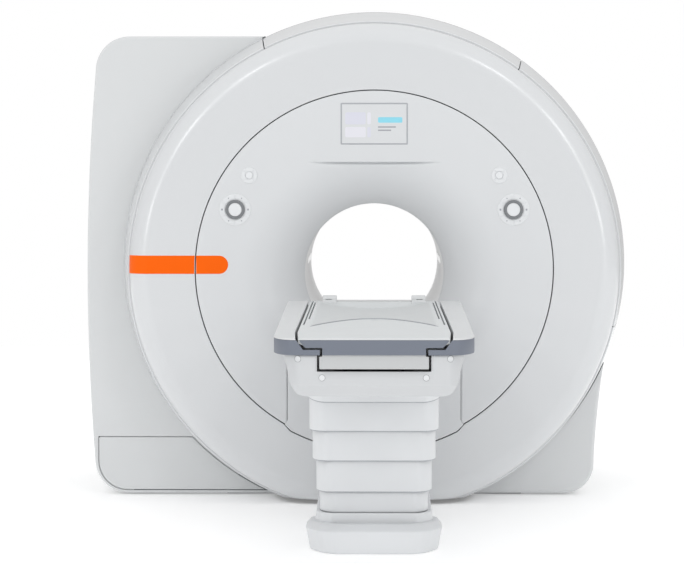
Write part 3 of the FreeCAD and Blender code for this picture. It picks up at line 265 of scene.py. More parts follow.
def group_tree(name, inputs, outputs):
    """An empty node group with float or colour inputs and outputs."""
    tree = bpy.data.node_groups.new(name, "ShaderNodeTree")
    for direction, sockets in (("INPUT", inputs), ("OUTPUT", outputs)):
        for label, kind in sockets.items():
            tree.interface.new_socket(label, in_out=direction, socket_type=f"NodeSocket{kind}")
    return tree, tree.nodes.new("NodeGroupInput"), tree.nodes.new("NodeGroupOutput")


def cast_skin():
    """Painted or moulded skin: slow clouds in the colour, a fine orange peel, and dust on level places.

    The recess-shade input darkens what lies below the height of the board's edge: painted shade in its cradle
    and slots.
    """
    tree, given, out = group_tree(
        "cast_skin",
        {"Colour": "Color", "Clouding": "Float", "Peel size": "Float", "Roughness": "Float",
         "Dust": "Float", "Painted_recess_shade": "Float"},
        {"Colour": "Color", "Roughness": "Float", "Height": "Float"})

    def sum_of(operation, first, second):
        return node(tree, "ShaderNodeMath", {0: first, 1: second}, operation=operation).outputs[0]

    def spread_over(value, *limits):
        return node(tree, "ShaderNodeMapRange", dict(enumerate((value, *limits)))).outputs[0]

    where = node(tree, "ShaderNodeTexCoord").outputs["Object"]
    slow = node(tree, "ShaderNodeTexNoise",
                {"Vector": where, "Scale": 2.3, "Detail": 3.0, "Roughness": 0.55}).outputs["Fac"]
    peel = node(tree, "ShaderNodeTexNoise",
                {"Vector": where, "Scale": given.outputs["Peel size"], "Detail": 2.0}).outputs["Fac"]
    smear = node(tree, "ShaderNodeTexNoise",
                 {"Vector": where, "Scale": 14.0, "Detail": 5.0, "Roughness": 0.65}).outputs["Fac"]
    clouds = sum_of("MULTIPLY", slow, given.outputs["Clouding"])
    normal = node(tree, "ShaderNodeNewGeometry").outputs["Normal"]
    level = node(tree, "ShaderNodeSeparateXYZ", {0: normal}).outputs["Z"]
    settled = sum_of("MULTIPLY", spread_over(level, 0.55, 1.0, 0.0, 1.0), smear)
    shade = sum_of("ADD", clouds, sum_of("MULTIPLY", settled, given.outputs["Dust"]))
    height = node(tree, "ShaderNodeSeparateXYZ", {0: where}).outputs["Z"]
    # painted shade: the colour is darkened below the board's edge, in its cradle and slots
    sunk = spread_over(height, 0.8835, 0.8857, 1.0, 0.0)
    shade = sum_of("ADD", sum_of("MULTIPLY", sunk, given.outputs["Painted_recess_shade"]), shade)
    shade = sum_of("SUBTRACT", 1.0, shade)
    tint = node(tree, "ShaderNodeMix", {"Factor": 1.0, "A": given.outputs["Colour"], "B": shade},
                data_type="RGBA", blend_type="MULTIPLY")
    rough = sum_of("MULTIPLY", given.outputs["Roughness"], spread_over(smear, 0.3, 0.7, 0.98, 1.03))
    tree.links.new(tint.outputs["Result"], out.inputs["Colour"])
    tree.links.new(rough, out.inputs["Roughness"])
    tree.links.new(peel, out.inputs["Height"])
    return tree


def finish(slot, colour, roughness, clouding=0.02, peel=420.0, depth=0.05, dust=0.03, coat=0.0, metallic=0.0,
           glow=0.0, trough=0.0, shine=0.5):
    """A finish in the shared skin: its own colour, gloss and peel; trough paints shade below the board's
    edge, and glow makes it give light.
    """
    material = bpy.data.materials.new(slot)
    material.use_nodes = True
    tree = material.node_tree
    shader = tree.nodes["Principled BSDF"]
    skin = node(tree, "ShaderNodeGroup", node_tree=SKIN)
    for key, value in (("Colour", linear(colour)), ("Clouding", clouding), ("Peel size", peel),
                       ("Roughness", roughness), ("Dust", dust), ("Painted_recess_shade", trough)):
        skin.inputs[key].default_value = value
    bump = node(tree, "ShaderNodeBump",
                {"Strength": depth, "Distance": 0.0006, "Height": skin.outputs["Height"]})
    tree.links.new(skin.outputs["Colour"], shader.inputs["Base Color"])
    tree.links.new(skin.outputs["Roughness"], shader.inputs["Roughness"])
    tree.links.new(bump.outputs["Normal"], shader.inputs["Normal"])
    shader.inputs["Metallic"].default_value = metallic
    shader.inputs["Specular IOR Level"].default_value = shine
    shader.inputs["Coat Weight"].default_value = coat
    shader.inputs["Coat Roughness"].default_value = 0.17
    if glow:
        tree.links.new(skin.outputs["Colour"], shader.inputs["Emission Color"])
        shader.inputs["Emission Strength"].default_value = glow
    return material


SKIN = cast_skin()
# Name, colour from 0 to 255, roughness and the rest; the two darker copies of table_white, for the tub and
# the end block, are no slots of the record: their colour paints shade
FINISHES = {name: finish(name, colour, roughness, **more) for name, colour, roughness, more in (
    ("cover_white", (212, 214, 216), 0.28, dict(coat=0.9)),
    ("box_white", (212, 214, 215), 0.34, dict(coat=0.3)),
    # painted light: a faint glow brightens the front panel, which is no lamp
    ("panel_white", (213, 215, 217), 0.38, dict(coat=0.12, glow=0.01)),
    # painted light: bore_white glows to brighten the bore's wall, which is no lamp
    ("bore_white", (214, 214, 214), 0.42, dict(glow=0.16)),
    # painted shade: trough darkens the board's cradle and slots below its edge
    ("table_board", (216, 219, 220), 0.45, dict(peel=700.0, depth=0.09, trough=0.08)),
    ("table_white", (214, 216, 217), 0.40, {}),
    # painted shade: a darker copy of table_white for the housing tub
    ("tub_white_painted_shade", (199, 201, 203), 0.40, {}),
    # painted shade: a darker copy of table_white for the end block under the board's front
    ("apron_white_painted_shade", (189, 191, 192), 0.40, {}),
    ("column_white", (219, 221, 223), 0.42, {}),
    ("slate_trim", (112, 118, 130), 0.55, dict(clouding=0.05, peel=900.0, depth=0.18, dust=0.1)),
    ("orange_stripe", (248, 100, 0), 0.5, dict(clouding=0.03, shine=0.12)),
    ("display_frame", (168, 171, 176), 0.40, {}),
    ("display_glass", (237, 237, 243), 0.14,
     dict(clouding=0.015, depth=0.0, dust=0.0, coat=0.6, glow=0.2)),
    ("key_grey", (222, 224, 226), 0.45, {}),
    ("dial_dark", (122, 125, 128), 0.36, dict(clouding=0.05, depth=0.1)),
    ("button_white", (226, 228, 230), 0.3, dict(coat=0.2)),
    ("frame_steel", (120, 124, 128), 0.5, dict(clouding=0.12, peel=160.0, depth=0.2, metallic=0.3)),
    ("vessel_steel", (205, 206, 208), 0.38, dict(clouding=0.06, metallic=0.4)),
    ("coil_resin", (196, 184, 138), 0.6, dict(clouding=0.15, peel=120.0, depth=0.25)),
    ("drive_steel", (168, 170, 172), 0.33, dict(clouding=0.08, metallic=0.9)),
    ("rail_aluminium", (190, 192, 194), 0.36, dict(clouding=0.06, metallic=0.9)),
)}
INKS = [finish(name, colour, roughness, depth=0, dust=0, **more) for name, colour, roughness, more in (
    ("ink_lilac", (214, 215, 226), 0.3, {}),
    ("ink_pale", (224, 224, 231), 0.3, {}),
    ("ink_blue", (142, 214, 232), 0.3, {}),
    ("ink_grey", (160, 162, 168), 0.4, {}),
    ("lamp_glow", (250, 250, 250), 0.4, dict(glow=0.35)),
)]
for part in frame["record"]["subparts"]:
    mesh = frame["nodes"][part["node"]].data
    mesh.materials.clear()
    mesh.materials.append(FINISHES[part["material_slot"]])


# ---------------------------------------------------------------- front of the gantry

def from_below(angle):
    """Degrees between a direction and straight down."""
    return np.abs((np.degrees(angle) + 90 + 180) % 360 - 180)


def across(angle, radius, rise):
    """Distance along a ray from a point to a circle whose centre lies rise above it."""
    return rise * np.sin(angle) + np.sqrt(radius ** 2 - (rise * np.cos(angle)) ** 2)


def front_ring():
    """Outer ring: a flat band, then a quarter circle of radius ROLL_R back to the frame.

    Its inner edge widens low down, clear of the bridge cover.
    """
    angle = np.linspace(0, 2 * math.pi, 480, endpoint=False)
    inner = np.interp(from_below(angle), [0, 27.3, 30.3, 180], [782, 782, PANEL_R + SEAM, PANEL_R + SEAM])
    flat_edge = RING_R - ROLL_R
    rows = [(inner, FACE_Y + 40)]
    rows += [(inner + 3 - 3 * math.cos(math.radians(t)), FACE_Y + 3 - 3 * math.sin(math.radians(t)))
             for t in (0, 25, 50, 70, 90)]
    rows += [(inner + 3 + (flat_edge - inner - 3) * share, FACE_Y) for share in (0.03, 0.3, 0.65, 0.97)]
    rows += [(flat_edge + ROLL_R * math.sin(t), FRAME_Y - ROLL_R * math.cos(t))
             for t in np.radians(np.linspace(0, 84, 26))]
    rows += [(RING_R - 1.2, FRAME_Y - 1.5), (RING_R - 4, FRAME_Y), (RING_R - 22, FRAME_Y)]
    radius = np.stack([np.broadcast_to(r, angle.shape) for r, _ in rows])
    y = np.stack([np.full(angle.shape, y) for _, y in rows])
    grid = np.stack([radius * np.cos(angle), y, DISC_Z + radius * np.sin(angle)], axis=-1)
    surface("ring_shell", [grid], "gantry", "cover_white", ["front_ring_cover"], wrap_columns=True,
            facing=(0, -1, 0), wall=4, floor=FLOOR_EDGE)


def flare(radius):
    """Depth of the mouth at a radius: an arc of radius FLARE_SIZE that leaves the face at FLARE_R."""
    mouth = FLARE_Y - np.sqrt(FLARE_SIZE ** 2 - (FLARE_R - radius).clip(0) ** 2)
    return np.where(radius < FLARE_R, mouth, FACE_Y)


def crease_reach(turn):
    """Distance from the bore's axis to the crease's level line, at degrees from straight down."""
    upright = np.cos(np.radians(180 - turn))
    return np.where(upright > 0.5, (CREASE_Z - BORE_Z) / np.maximum(upright, 0.5), 1e4)


def crease_step(edge, away):
    """Depth by which the flare falls behind the face along the crease: up to 11 mm, none at its ends."""
    return 11 * np.clip((FLARE_R - 3 - edge) / 50, 0, 1) * (away > 90)


def front_panel():
    """Round inner panel on two polar grids about the bore, which share the line m(angle).

    The inner one is the flare out to m: the bridge opening's top, the crease or the end of the flare.
    The outer one is the flat face from m, or from the opening's sides, out to the round edge.
    """
    half, top, lowest_turn, shoulder_turn = 377.0, 645.0, 30.64, 31.2
    corner = math.degrees(math.atan2(half, BORE_Z - top))
    low = np.linspace(-corner, corner, 121)
    wide = np.linspace(corner, 360 - corner, 461)
    side = np.linspace(lowest_turn, corner, 46)
    turn = np.concatenate([low[:-1], wide[:-1]])
    corner_r = (BORE_Z - top) / math.cos(math.radians(corner))

    def flare_end(away):
        return corner_r + (FLARE_R - corner_r) * np.clip((away - corner) / 9, 0, 1)

    away = np.minimum(np.abs(turn), 360 - np.abs(turn))
    edge = np.where(away <= corner, (BORE_Z - top) / np.cos(np.radians(np.minimum(away, corner))),
                    flare_end(away))
    edge = np.minimum(edge, crease_reach(turn))
    share = np.concatenate([np.linspace(0, 0.93, 30), np.linspace(0.94, 1, 12)])[:, None]
    radius = BORE_R + (edge - BORE_R) * share
    y = flare(radius)
    y = y + crease_step(edge, away) * np.exp(-((edge - radius) / 7) ** 2)
    radius = np.concatenate([np.full((1, len(turn)), BORE_R), radius])
    y = np.concatenate([y[:1] + 30, y])

    def polar(degrees, radius, y):
        angle = np.radians(degrees - 90)
        return np.stack([radius * np.cos(angle), y, BORE_Z + radius * np.sin(angle)], axis=-1)

    inner = polar(turn, radius, y)
    both = np.concatenate([side[:-1], wide, 360 - side[:-1][::-1]])
    away = np.minimum(both, 360 - both)
    shelf = crease_reach(both)
    begin = np.minimum(flare_end(away), shelf)
    beside = np.interp(away, [lowest_turn, shoulder_turn], [381.5, half])
    begin = np.where(away < corner, beside / np.sin(np.radians(away)), begin)
    angle = np.radians(both - 90)
    finish_r = across(angle, PANEL_R, DISC_Z - BORE_Z)
    begin = np.minimum(begin, finish_r - 6)
    start_y = flare(begin) + crease_step(begin, away)
    step = start_y - FACE_Y
    rows, depths = [begin], [start_y]
    for s in (0.12, 0.3, 0.5, 0.7, 0.88, 1):
        ramp = s * s * (3 - 2 * s)
        reach = begin + 2.5 * s
        rows.append(reach)
        depths.append(np.where(shelf < FLARE_R, start_y - step * ramp, flare(reach)))
    for s in np.concatenate([np.linspace(0.04, 0.9, 12), [1]]):
        reach = begin + 2.5 + (finish_r - 5.5 - begin) * s
        rows.append(reach)
        depths.append(np.where(shelf < FLARE_R, FACE_Y, flare(reach)))
    for a, b in ((2, 0.3), (1, 1), (0.3, 2), (0, 3), (0, 40)):
        rows.append(finish_r - a)
        depths.append(np.full(both.shape, FACE_Y + b))
    outer = polar(both, np.stack(rows), np.stack(depths))
    across_top = inner[-1, :len(low)]
    up_side = outer[0, :len(side)]
    down_side = outer[0, -len(side):]
    path = np.concatenate([up_side[:-1], across_top, down_side[1:]])
    inwards = 0.7 * lip_way(path)
    lip = np.stack([path, path + (0, 2, 0) + inwards, path + (0, 34, 0) + inwards])
    surface("panel_shell", [inner], "gantry", "panel_white", ["front_panel"], wrap_columns=True,
            facing=(0, -1, 0), wall=4, crease=38, more=[outer, lip])


def lip_way(path):
    """Unit vectors in the face's plane from a path towards the middle of the bridge opening."""
    to = np.stack([-path[:, 0], np.zeros(len(path)), 420 - path[:, 2]], axis=1)
    return to / np.linalg.norm(to, axis=1, keepdims=True)


def bridge_cover():
    """Tray under the bore: a flat plate whose outline steps out and ends on an arc about the disc's axis."""
    bottom = arc((0, DISC_Z), 778, -62.8, -90, 20)
    outline = mirrored(np.concatenate([[(370.5, 639), (370.5, 366), (383, 345)], bottom]))
    plate("bridge_plate", outline, FACE_Y, FRAME_Y, 3, "gantry", "panel_white", ["lower_bridge_cover"],
          crease=32)


def bore_tube():
    """Bore tube: a thin ring section turned round, with rounded ends."""
    ends = 4 * np.array([[1, 0], [0.3, 0.3], [0, 1]])
    section = [(BORE_R + a, -650 + b) for a, b in ends] + [(BORE_R + a, 650 - b) for a, b in ends[::-1]]
    section += [(BORE_R + 9, 650), (BORE_R + 9, -650)]
    hoop("bore_wall", [turned(section, 192)], "gantry", "bore_white", ["bore_liner"])


def rim(name, node_name, first, last, rear=REAR_Y, floor=None):
    """Rim cover: radius and centre height grow from the collar to the shoulder, then stay to the rear.

    Each edge turns in by a quarter round and a short return.
    """
    y = np.concatenate([[-712, -713.6, -714, -713, -709], np.linspace(-700, SHOULDER_Y, 9),
                        np.linspace(SHOULDER_Y + 12, rear - 8, 8), [rear - 3, rear, rear - 1]])
    dip = np.concatenate([[26, 8, 4, 1.2, 0], np.zeros(9 + 8), [0.8, 4, 22]])
    share = ((y + 714) / (SHOULDER_Y + 714)).clip(0, 1)
    share = share + 0.03 * np.sin(math.pi * share)
    radius = COLLAR_R + (RIM_R - COLLAR_R) * share - dip
    height = DISC_Z + (RIM_Z - DISC_Z) * share
    angle = np.linspace(first, last, int(abs(last - first) * 1.2) + 2)
    gap = math.degrees(1 / RIM_R)
    turn_in = np.array([0, 0, 0.4, 1.2, 3]) * gap
    angle = np.concatenate([first + turn_in, angle[1:-1], last - turn_in[::-1]])
    sink = np.concatenate([[18, 3, 1, 0.25, 0], np.zeros(len(angle) - 10), [0, 0.25, 1, 3, 18]])
    angle = np.radians(angle)
    reach = radius[:, None] - sink[None]
    grid = np.stack([reach * np.cos(angle), np.broadcast_to(y[:, None], reach.shape),
                     height[:, None] + reach * np.sin(angle)], axis=-1)
    middle = math.radians((first + last) / 2)
    surface(name, [grid], "gantry", "cover_white", [node_name],
            facing=(math.cos(middle), 0, math.sin(middle)), wall=4, floor=floor, crease=50)


def rear_cover():
    """Rear of the drum: a rolled edge about the rim's axis, a flat face, a mouth about the bore's."""
    angle = np.linspace(0, 2 * math.pi, 360, endpoint=False)
    face = 770.0
    mouth, depth = 555.0, face - 650.3
    size = ((mouth - BORE_R) ** 2 + depth ** 2) / (2 * depth)
    roll = 80.0
    flat = RIM_R - roll
    rise = RIM_Z - BORE_Z
    radius, y = [], []
    for reach in BORE_R + (mouth - BORE_R) * np.linspace(0, 1, 20):
        radius.append(np.full(angle.shape, reach))
        y.append(face - size + math.sqrt(size ** 2 - (mouth - reach) ** 2))
    for share in (0.1, 0.5, 0.9):
        radius.append(mouth + (across(angle, flat, rise) - mouth) * share)
        y.append(face)
    for t in np.radians(np.linspace(0, 90, 12)):
        radius.append(across(angle, flat + roll * math.sin(t), rise))
        y.append(face - roll + roll * math.cos(t))
    for back, dip in ((640, 0), (607, 0), (604.5, 1), (604, 4), (605, 20)):
        radius.append(across(angle, RIM_R - dip, rise))
        y.append(back)
    radius = np.stack(radius)
    y = np.broadcast_to(np.reshape(y, (-1, 1)), radius.shape)
    grid = np.stack([radius * np.cos(angle), y, BORE_Z + radius * np.sin(angle)], axis=-1)
    surface("rear_shell", [grid], "gantry", "cover_white", ["rear_cover"], wrap_columns=True,
            facing=(0, 1, 0), wall=4, floor=FLOOR_EDGE)


def service_edge(grow):
    """Outline of the service panel, grown by a gap: an arc along the rim, a large corner low on the left."""
    radius = RIM_R + 13 - grow
    low, high, left, corner = 24 - grow, 255 + grow, 1213 + grow, 126 + grow
    turn = [math.degrees(math.asin((z - RIM_Z) / radius)) for z in (low, high)]
    along_rim = arc((0, RIM_Z), radius, 180 - turn[0], 180 - turn[1], 24)
    return np.concatenate([along_rim, [(-left + 3, high), (-left, high - 3)],
                           arc((-left + corner, low + corner), corner, 180, 270, 14)])


def cabinet(name, node_name, outline, weight, window=None):
    """Cabinet shell carried along Y with round outer edges; a window sinks a tray into its front face."""
    profile = bar(SHOULDER_Y, REAR_Y, 16 if window is None else 8, 12, steps=8)
    if window is None:
        return solid(name, [carried(outline, profile, weight=weight)], "gantry", "box_white",
                     [node_name], crease=40)
    body = carried(outline, profile[1:-1], weight=weight)
    back = carried(outline, [(12, REAR_Y), (19, REAR_Y)], weight=weight)
    sunk = SHOULDER_Y + 9
    tray = carried(window, [(0, SHOULDER_Y), (-0.8, SHOULDER_Y + 0.8), (-0.8, sunk), (20, sunk)])
    return surface(name, [body], "gantry", "box_white", [node_name], wrap_columns=True, crease=40,
                   face_at=SHOULDER_Y, tubs=[tray, back])


def service_panel():
    """Clipped panel: a plate with small rounded edges inside its window."""
    plate("service_plate", service_edge(0), SHOULDER_Y, SHOULDER_Y + 6, 2, "gantry", "box_white",
          ["service_panel"])


def left_outline():
    """Left cabinet from the front, with each point's share of the edge rounding: none along the rim.

    Its tall side leans by 9 mm and bows by 35, between round corners.
    """
    bite, side, top, low, corner = RIM_R + SEAM, 1231.0, 2018.0, 8.0, 148.0
    z = np.linspace(low + corner, top - corner, 24)
    share = (z - z[0]) / (z[-1] - z[0])
    tall = np.stack([-(side - 9 * share + 140 * share * (1 - share)), z], axis=1)
    turn = [math.degrees(math.asin((height - RIM_Z) / bite)) for height in (low, top)]
    round_bite = arc((0, RIM_Z), bite, 180 - turn[1], 180 - turn[0], 100)
    outer = np.concatenate([
        [round_bite[-1] - (50, 0)], arc((-side + corner, low + corner), corner, 270, 180, 16), tall[1:-1],
        arc((-side + 9 + corner, top - corner), corner, 180, 90, 16), [round_bite[0] - (50, 0)]])
    return np.concatenate([outer, round_bite]), np.repeat([1.0, 0.0], [len(outer), len(round_bite)])


def right_outline():
    """Right cabinet from the front: low, with a round lower corner and a side that leans out to the rim."""
    bite, low, corner, side, top = RIM_R + SEAM, 8.0, 130.0, 968.0, 585.5
    turn = [math.degrees(math.asin((height - RIM_Z) / bite)) for height in (low, top)]
    round_bite = arc((0, RIM_Z), bite, turn[1], turn[0], 60)
    z = np.linspace(low + corner, top, 16)[1:-1]
    share = (z - low - corner) / (top - low - corner)
    leaning = np.stack([side + (round_bite[0][0] - side) * share ** 1.5, z], axis=1)
    outer = np.concatenate([[round_bite[-1] + (50, 0)],
                            arc((side - corner, low + corner), corner, 270, 360, 16), leaning])
    weight = np.ones(len(outer))
    weight[-4:] = (0.8, 0.5, 0.25, 0.1)
    return np.concatenate([outer, round_bite]), np.concatenate([weight, np.zeros(len(round_bite))])


def stripe():
    """Orange stripe: on the ring a skin between two heights that follows its section.

    On the panel it is a plate with a round end. Both stand proud by the same thickness.
    """
    middle, half, proud = 1030.0, 39.0, 0.9
    low, high = middle - half, middle + half
    z = np.concatenate([[low, low], np.linspace(low, high, 9), [high, high]])
    turn = np.radians(np.linspace(0, 88, 24))
    radius = np.concatenate([[769, 769, 769.5, 800, 900],
                             RING_R - ROLL_R + (ROLL_R + proud) * np.sin(turn)])
    y = np.concatenate([FACE_Y + np.array([6, -0.3, -proud, -proud, -proud]),
                        FRAME_Y - (ROLL_R + proud) * np.cos(turn)])
    depth = np.array([6, 0.5] + [0] * 9 + [0.5, 6])
    grid_z = np.broadcast_to(z[:, None], (len(z), len(radius)))
    x = -np.sqrt(radius[None] ** 2 - (grid_z - DISC_Z) ** 2)
    grid = np.stack([x, y[None] + depth[:, None], grid_z], axis=-1)
    surface("stripe_on_ring", [grid], "gantry", "orange_stripe", ["stripe_ring"], facing=(0, -1, 0),
            wall=0.6)
    outline = np.concatenate([[(-761, low)], arc((-663, middle), half, -90, 90, 24), [(-761, high)]])
    plate("stripe_on_panel", outline, FACE_Y - proud, FACE_Y + 3, 0.6, "gantry", "orange_stripe",
          ["stripe_panel"], crease=32)


# ---------------------------------------------------------------- patient table

def cradle_end(x):
    """Y of the cradle's front edge at x: an arc of radius 80 in the middle, a bowed line to each side."""
    inside = np.abs(x).clip(None, CRADLE_HALF)
    share = ((inside - 70) / 167).clip(0)
    tip = CRADLE_TIP + np.sqrt(80 ** 2 - inside.clip(None, 70) ** 2) - math.sqrt(80 ** 2 - 70 ** 2)
    return np.where(inside <= 70, tip, CRADLE_TIP - 449 * share + 54 * 4 * share * (1 - share))


def table_board():
    """Board: a row of cross-sections along Y, whose cradle is a cylinder let into the top by drop.

    Towards the front the cradle's floor rises to the flat tongue, and each section line is stretched
    to that edge.
    """
    front, rear = BOARD_FRONT, BOARD_REAR
    end, drop, trough = -2795.0, 28.0, 983.0
    fine = np.concatenate([np.linspace(0, 1, 13)[1:] * 70, 70 + np.linspace(0, 1, 14)[1:] * 163])
    edges = [237, 241.5, 241.5, 247.5, 247.5, 253, 253, 259, 259, 262, 265.5, 267.3, 268, 268]
    lower = [0, 0, 15, 15, 0, 0, 15, 15, 0, 0, 0.5, 1.8, 4, 18]
    right_x = np.concatenate([fine, edges])
    sink = np.concatenate([np.zeros(len(fine)), lower])
    x = np.concatenate([-right_x[::-1], [0], right_x])
    sink = np.concatenate([sink[::-1], [0], sink])
    inner_slot = (np.abs(x) > 241) & (np.abs(x) < 248)
    outer_slot = (np.abs(x) > 252.5) & (np.abs(x) < 259.5)
    stations = np.array([rear, rear - 1, rear - 4, -1010, -1010, -1096, -1112, -1122, -1122, -1700,
                         -2000, -2305, -2305, -2450, -2600, -2676, -2676, -2720, -2760, end])
    tongue = cradle_end(x)
    back = rear + (stations[:, None] - rear) * (tongue[None] - rear) / (end - rear)
    slope = tongue[None] - 16 * np.linspace(0, 1, 7)[1:, None]
    rest = slope[-1] + (front + 104 - slope[-1]) * np.array([0.2, 0.5, 0.8, 1.0])[:, None]
    nose = front + np.array([104, 60, 8, 8, 2, 0.4, 0])[:, None] + 0 * x[None]
    y = np.concatenate([back, slope, rest, nose])
    cradle = (drop - (trough - np.sqrt(trough ** 2 - np.abs(x).clip(None, 300) ** 2))).clip(0)
    cradle = np.where(np.abs(x) > 236, 0, cradle)
    rise = np.linspace(0, 1, 7)[1:]
    level = np.ones(len(stations))
    level[:6], level[6] = 0.06, 0.9
    fade = np.concatenate([level, 1 - rise ** 2 * (3 - 2 * rise), np.zeros(4 + 7)])
    z = BOARD_TOP - cradle[None] * fade[:, None]
    row = np.arange(len(y))
    groove_inner = (row >= 8) & (row <= 11)
    groove_outer = (row >= 4) & (row <= 15)
    keep = np.ones((len(y), len(x)))
    keep[:, inner_slot] = groove_inner[:, None]
    keep[:, outer_slot] = groove_outer[:, None]
    z = z - sink[None] * keep
    rounding = np.zeros(len(y))
    rounding[0], rounding[1] = 3, 0.8
    rounding[-3:] = [0.3, 1.2, 4]
    z = z - rounding[:, None]
    under_x = np.array([268, 225, 150, -150, -225, -268])
    under_z = np.array([868, 830, 806, 806, 830, 868])
    lifted = (row > len(stations) + 6 + 3)[:, None]
    under = np.where(lifted, np.maximum(under_z, 853), np.broadcast_to(under_z, (len(y), 6)))
    lip = row >= len(y) - 4
    under = np.where(lip[:, None], 880.3, under)
    z = np.where(lip[:, None], np.maximum(z, 880.3), z)
    under_y = np.repeat(y[:, -1:], 6, axis=1)
    across_all = np.concatenate([np.broadcast_to(x, y.shape), np.broadcast_to(under_x, under.shape)], axis=1)
    y = np.concatenate([y, under_y], axis=1)
    taper = np.interp(-y, [3079, 3432], [1, 256 / 268])
    grid = np.stack([across_all * taper, y, np.concatenate([z, under], axis=1)], axis=-1)
    solid("board_moulding", [grid], "table", "table_board", ["table_top"], crease=38)


def swept_rectangle(half, front, rear, corner=64.0, stretch=1.7):
    """Rectangle in plan with elliptic corners: round ones, stretched along Y."""
    corners = mirrored([(half, -front / stretch), (half, -rear / stretch)])
    return rounded(corners, corner, 12) * (1, stretch)


def shell(name, node_name, body, half, front, rear, bottom, top, skin, shade_seal=True):
    """Column cover: a wall with a rounded lower edge, carried round a rectangle with elliptic corners.

    Under it a thin dark strip of the same plan paints the shade line below the cover's edge.
    """
    outline = swept_rectangle(half, front, rear)
    section = [(skin, bottom + 1.5), (skin * 0.5, bottom), (3, bottom), (1, bottom + 1), (0, bottom + 4),
               (0, top - 2), (1, top), (skin - 1, top), (skin, top - 1)]
    # painted shade: a dark grey strip just under the cover's lower edge
    if shade_seal:
        inner, low = skin - 1.2, bottom - 3.4
        wiper = [(2.5, bottom + 2), (2.5, bottom - 2.6), (3.3, low), (inner, low), (inner, bottom + 2)]
        hoop(name.replace("cover", "wiper"), [carried(outline, wiper, "z")], body, "display_frame")
    hoop(name, [carried(outline, section, "z")], body, "column_white", [node_name])


def display():
    """Flush display: a frame of an inverted U-section, a screen, and raised plain tiles and bars on it."""
    low, high, half = 1543.0, 1721.0, 143.5
    outline = rounded(mirrored([(half, low), (half, high)]), 5, 5)
    section = [(0, -790), (0, -810.2), (0.8, -811), (5.2, -811), (6, -810.2), (6, -790)]
    hoop("display_surround", [carried(outline, section)], "gantry", "display_frame", ["display_bezel"])
    outline = rounded(mirrored([(137, low + 6.3), (137, high - 6.3)]), 3, 4)
    plate("display_pane", outline, -809.6, -804, 0.8, "gantry", "display_glass", ["display_screen"])
    # Middle, half width, half height and ink of each tile
    marks = [(-80, 1655, 44, 26, 0), (-22, 1655, 8, 26, 1), (-80, 1596, 44, 22, 1), (-22, 1596, 8, 22, 0),
             (68, 1648, 52, 12, 2), (54, 1618, 38, 3, 3), (44, 1604, 28, 3, 3)]
    for ink in range(4):
        tiles = []
        for x, z, wide, tall, chosen in marks:
            if chosen == ink:
                corners = mirrored([(wide, z - tall), (wide, z + tall)]) + (x, 0)
                outline = rounded(corners, min(tall * 0.45, 7), 4)
                tiles.append(carried(outline, bar(-810.1, -809.2, 0.3, steps=3)))
        solid(f"display_tiles_{ink + 1}", tiles, "gantry", "display_glass", look=INKS[ink])


def pad(centre, inner, outer, middle, sweep, corner, rear, front, edge):
    """Key pad: a ring's sector with round corners, raised from rear to front with a round edge."""
    turn = np.radians(np.linspace(-sweep / 2, sweep / 2, 12))
    out = np.stack([outer * np.cos(turn), outer * np.sin(turn)], axis=1)
    back = np.stack([inner * np.cos(turn), inner * np.sin(turn)], axis=1)[::-1]
    outline = np.concatenate([out, back])
    radius = np.full(len(outline), 0.02)
    radius[[0, 11, 12, 23]] = corner
    outline = rounded(outline, radius, 4)
    outline = outline[np.linalg.norm(outline - np.roll(outline, 1, axis=0), axis=1) > 0.05]
    c, s = math.cos(math.radians(middle)), math.sin(math.radians(middle))
    outline = outline @ np.array([[c, s], [-s, c]]) + centre
    return carried(outline, bar(front, rear, edge, 0.2, steps=4))


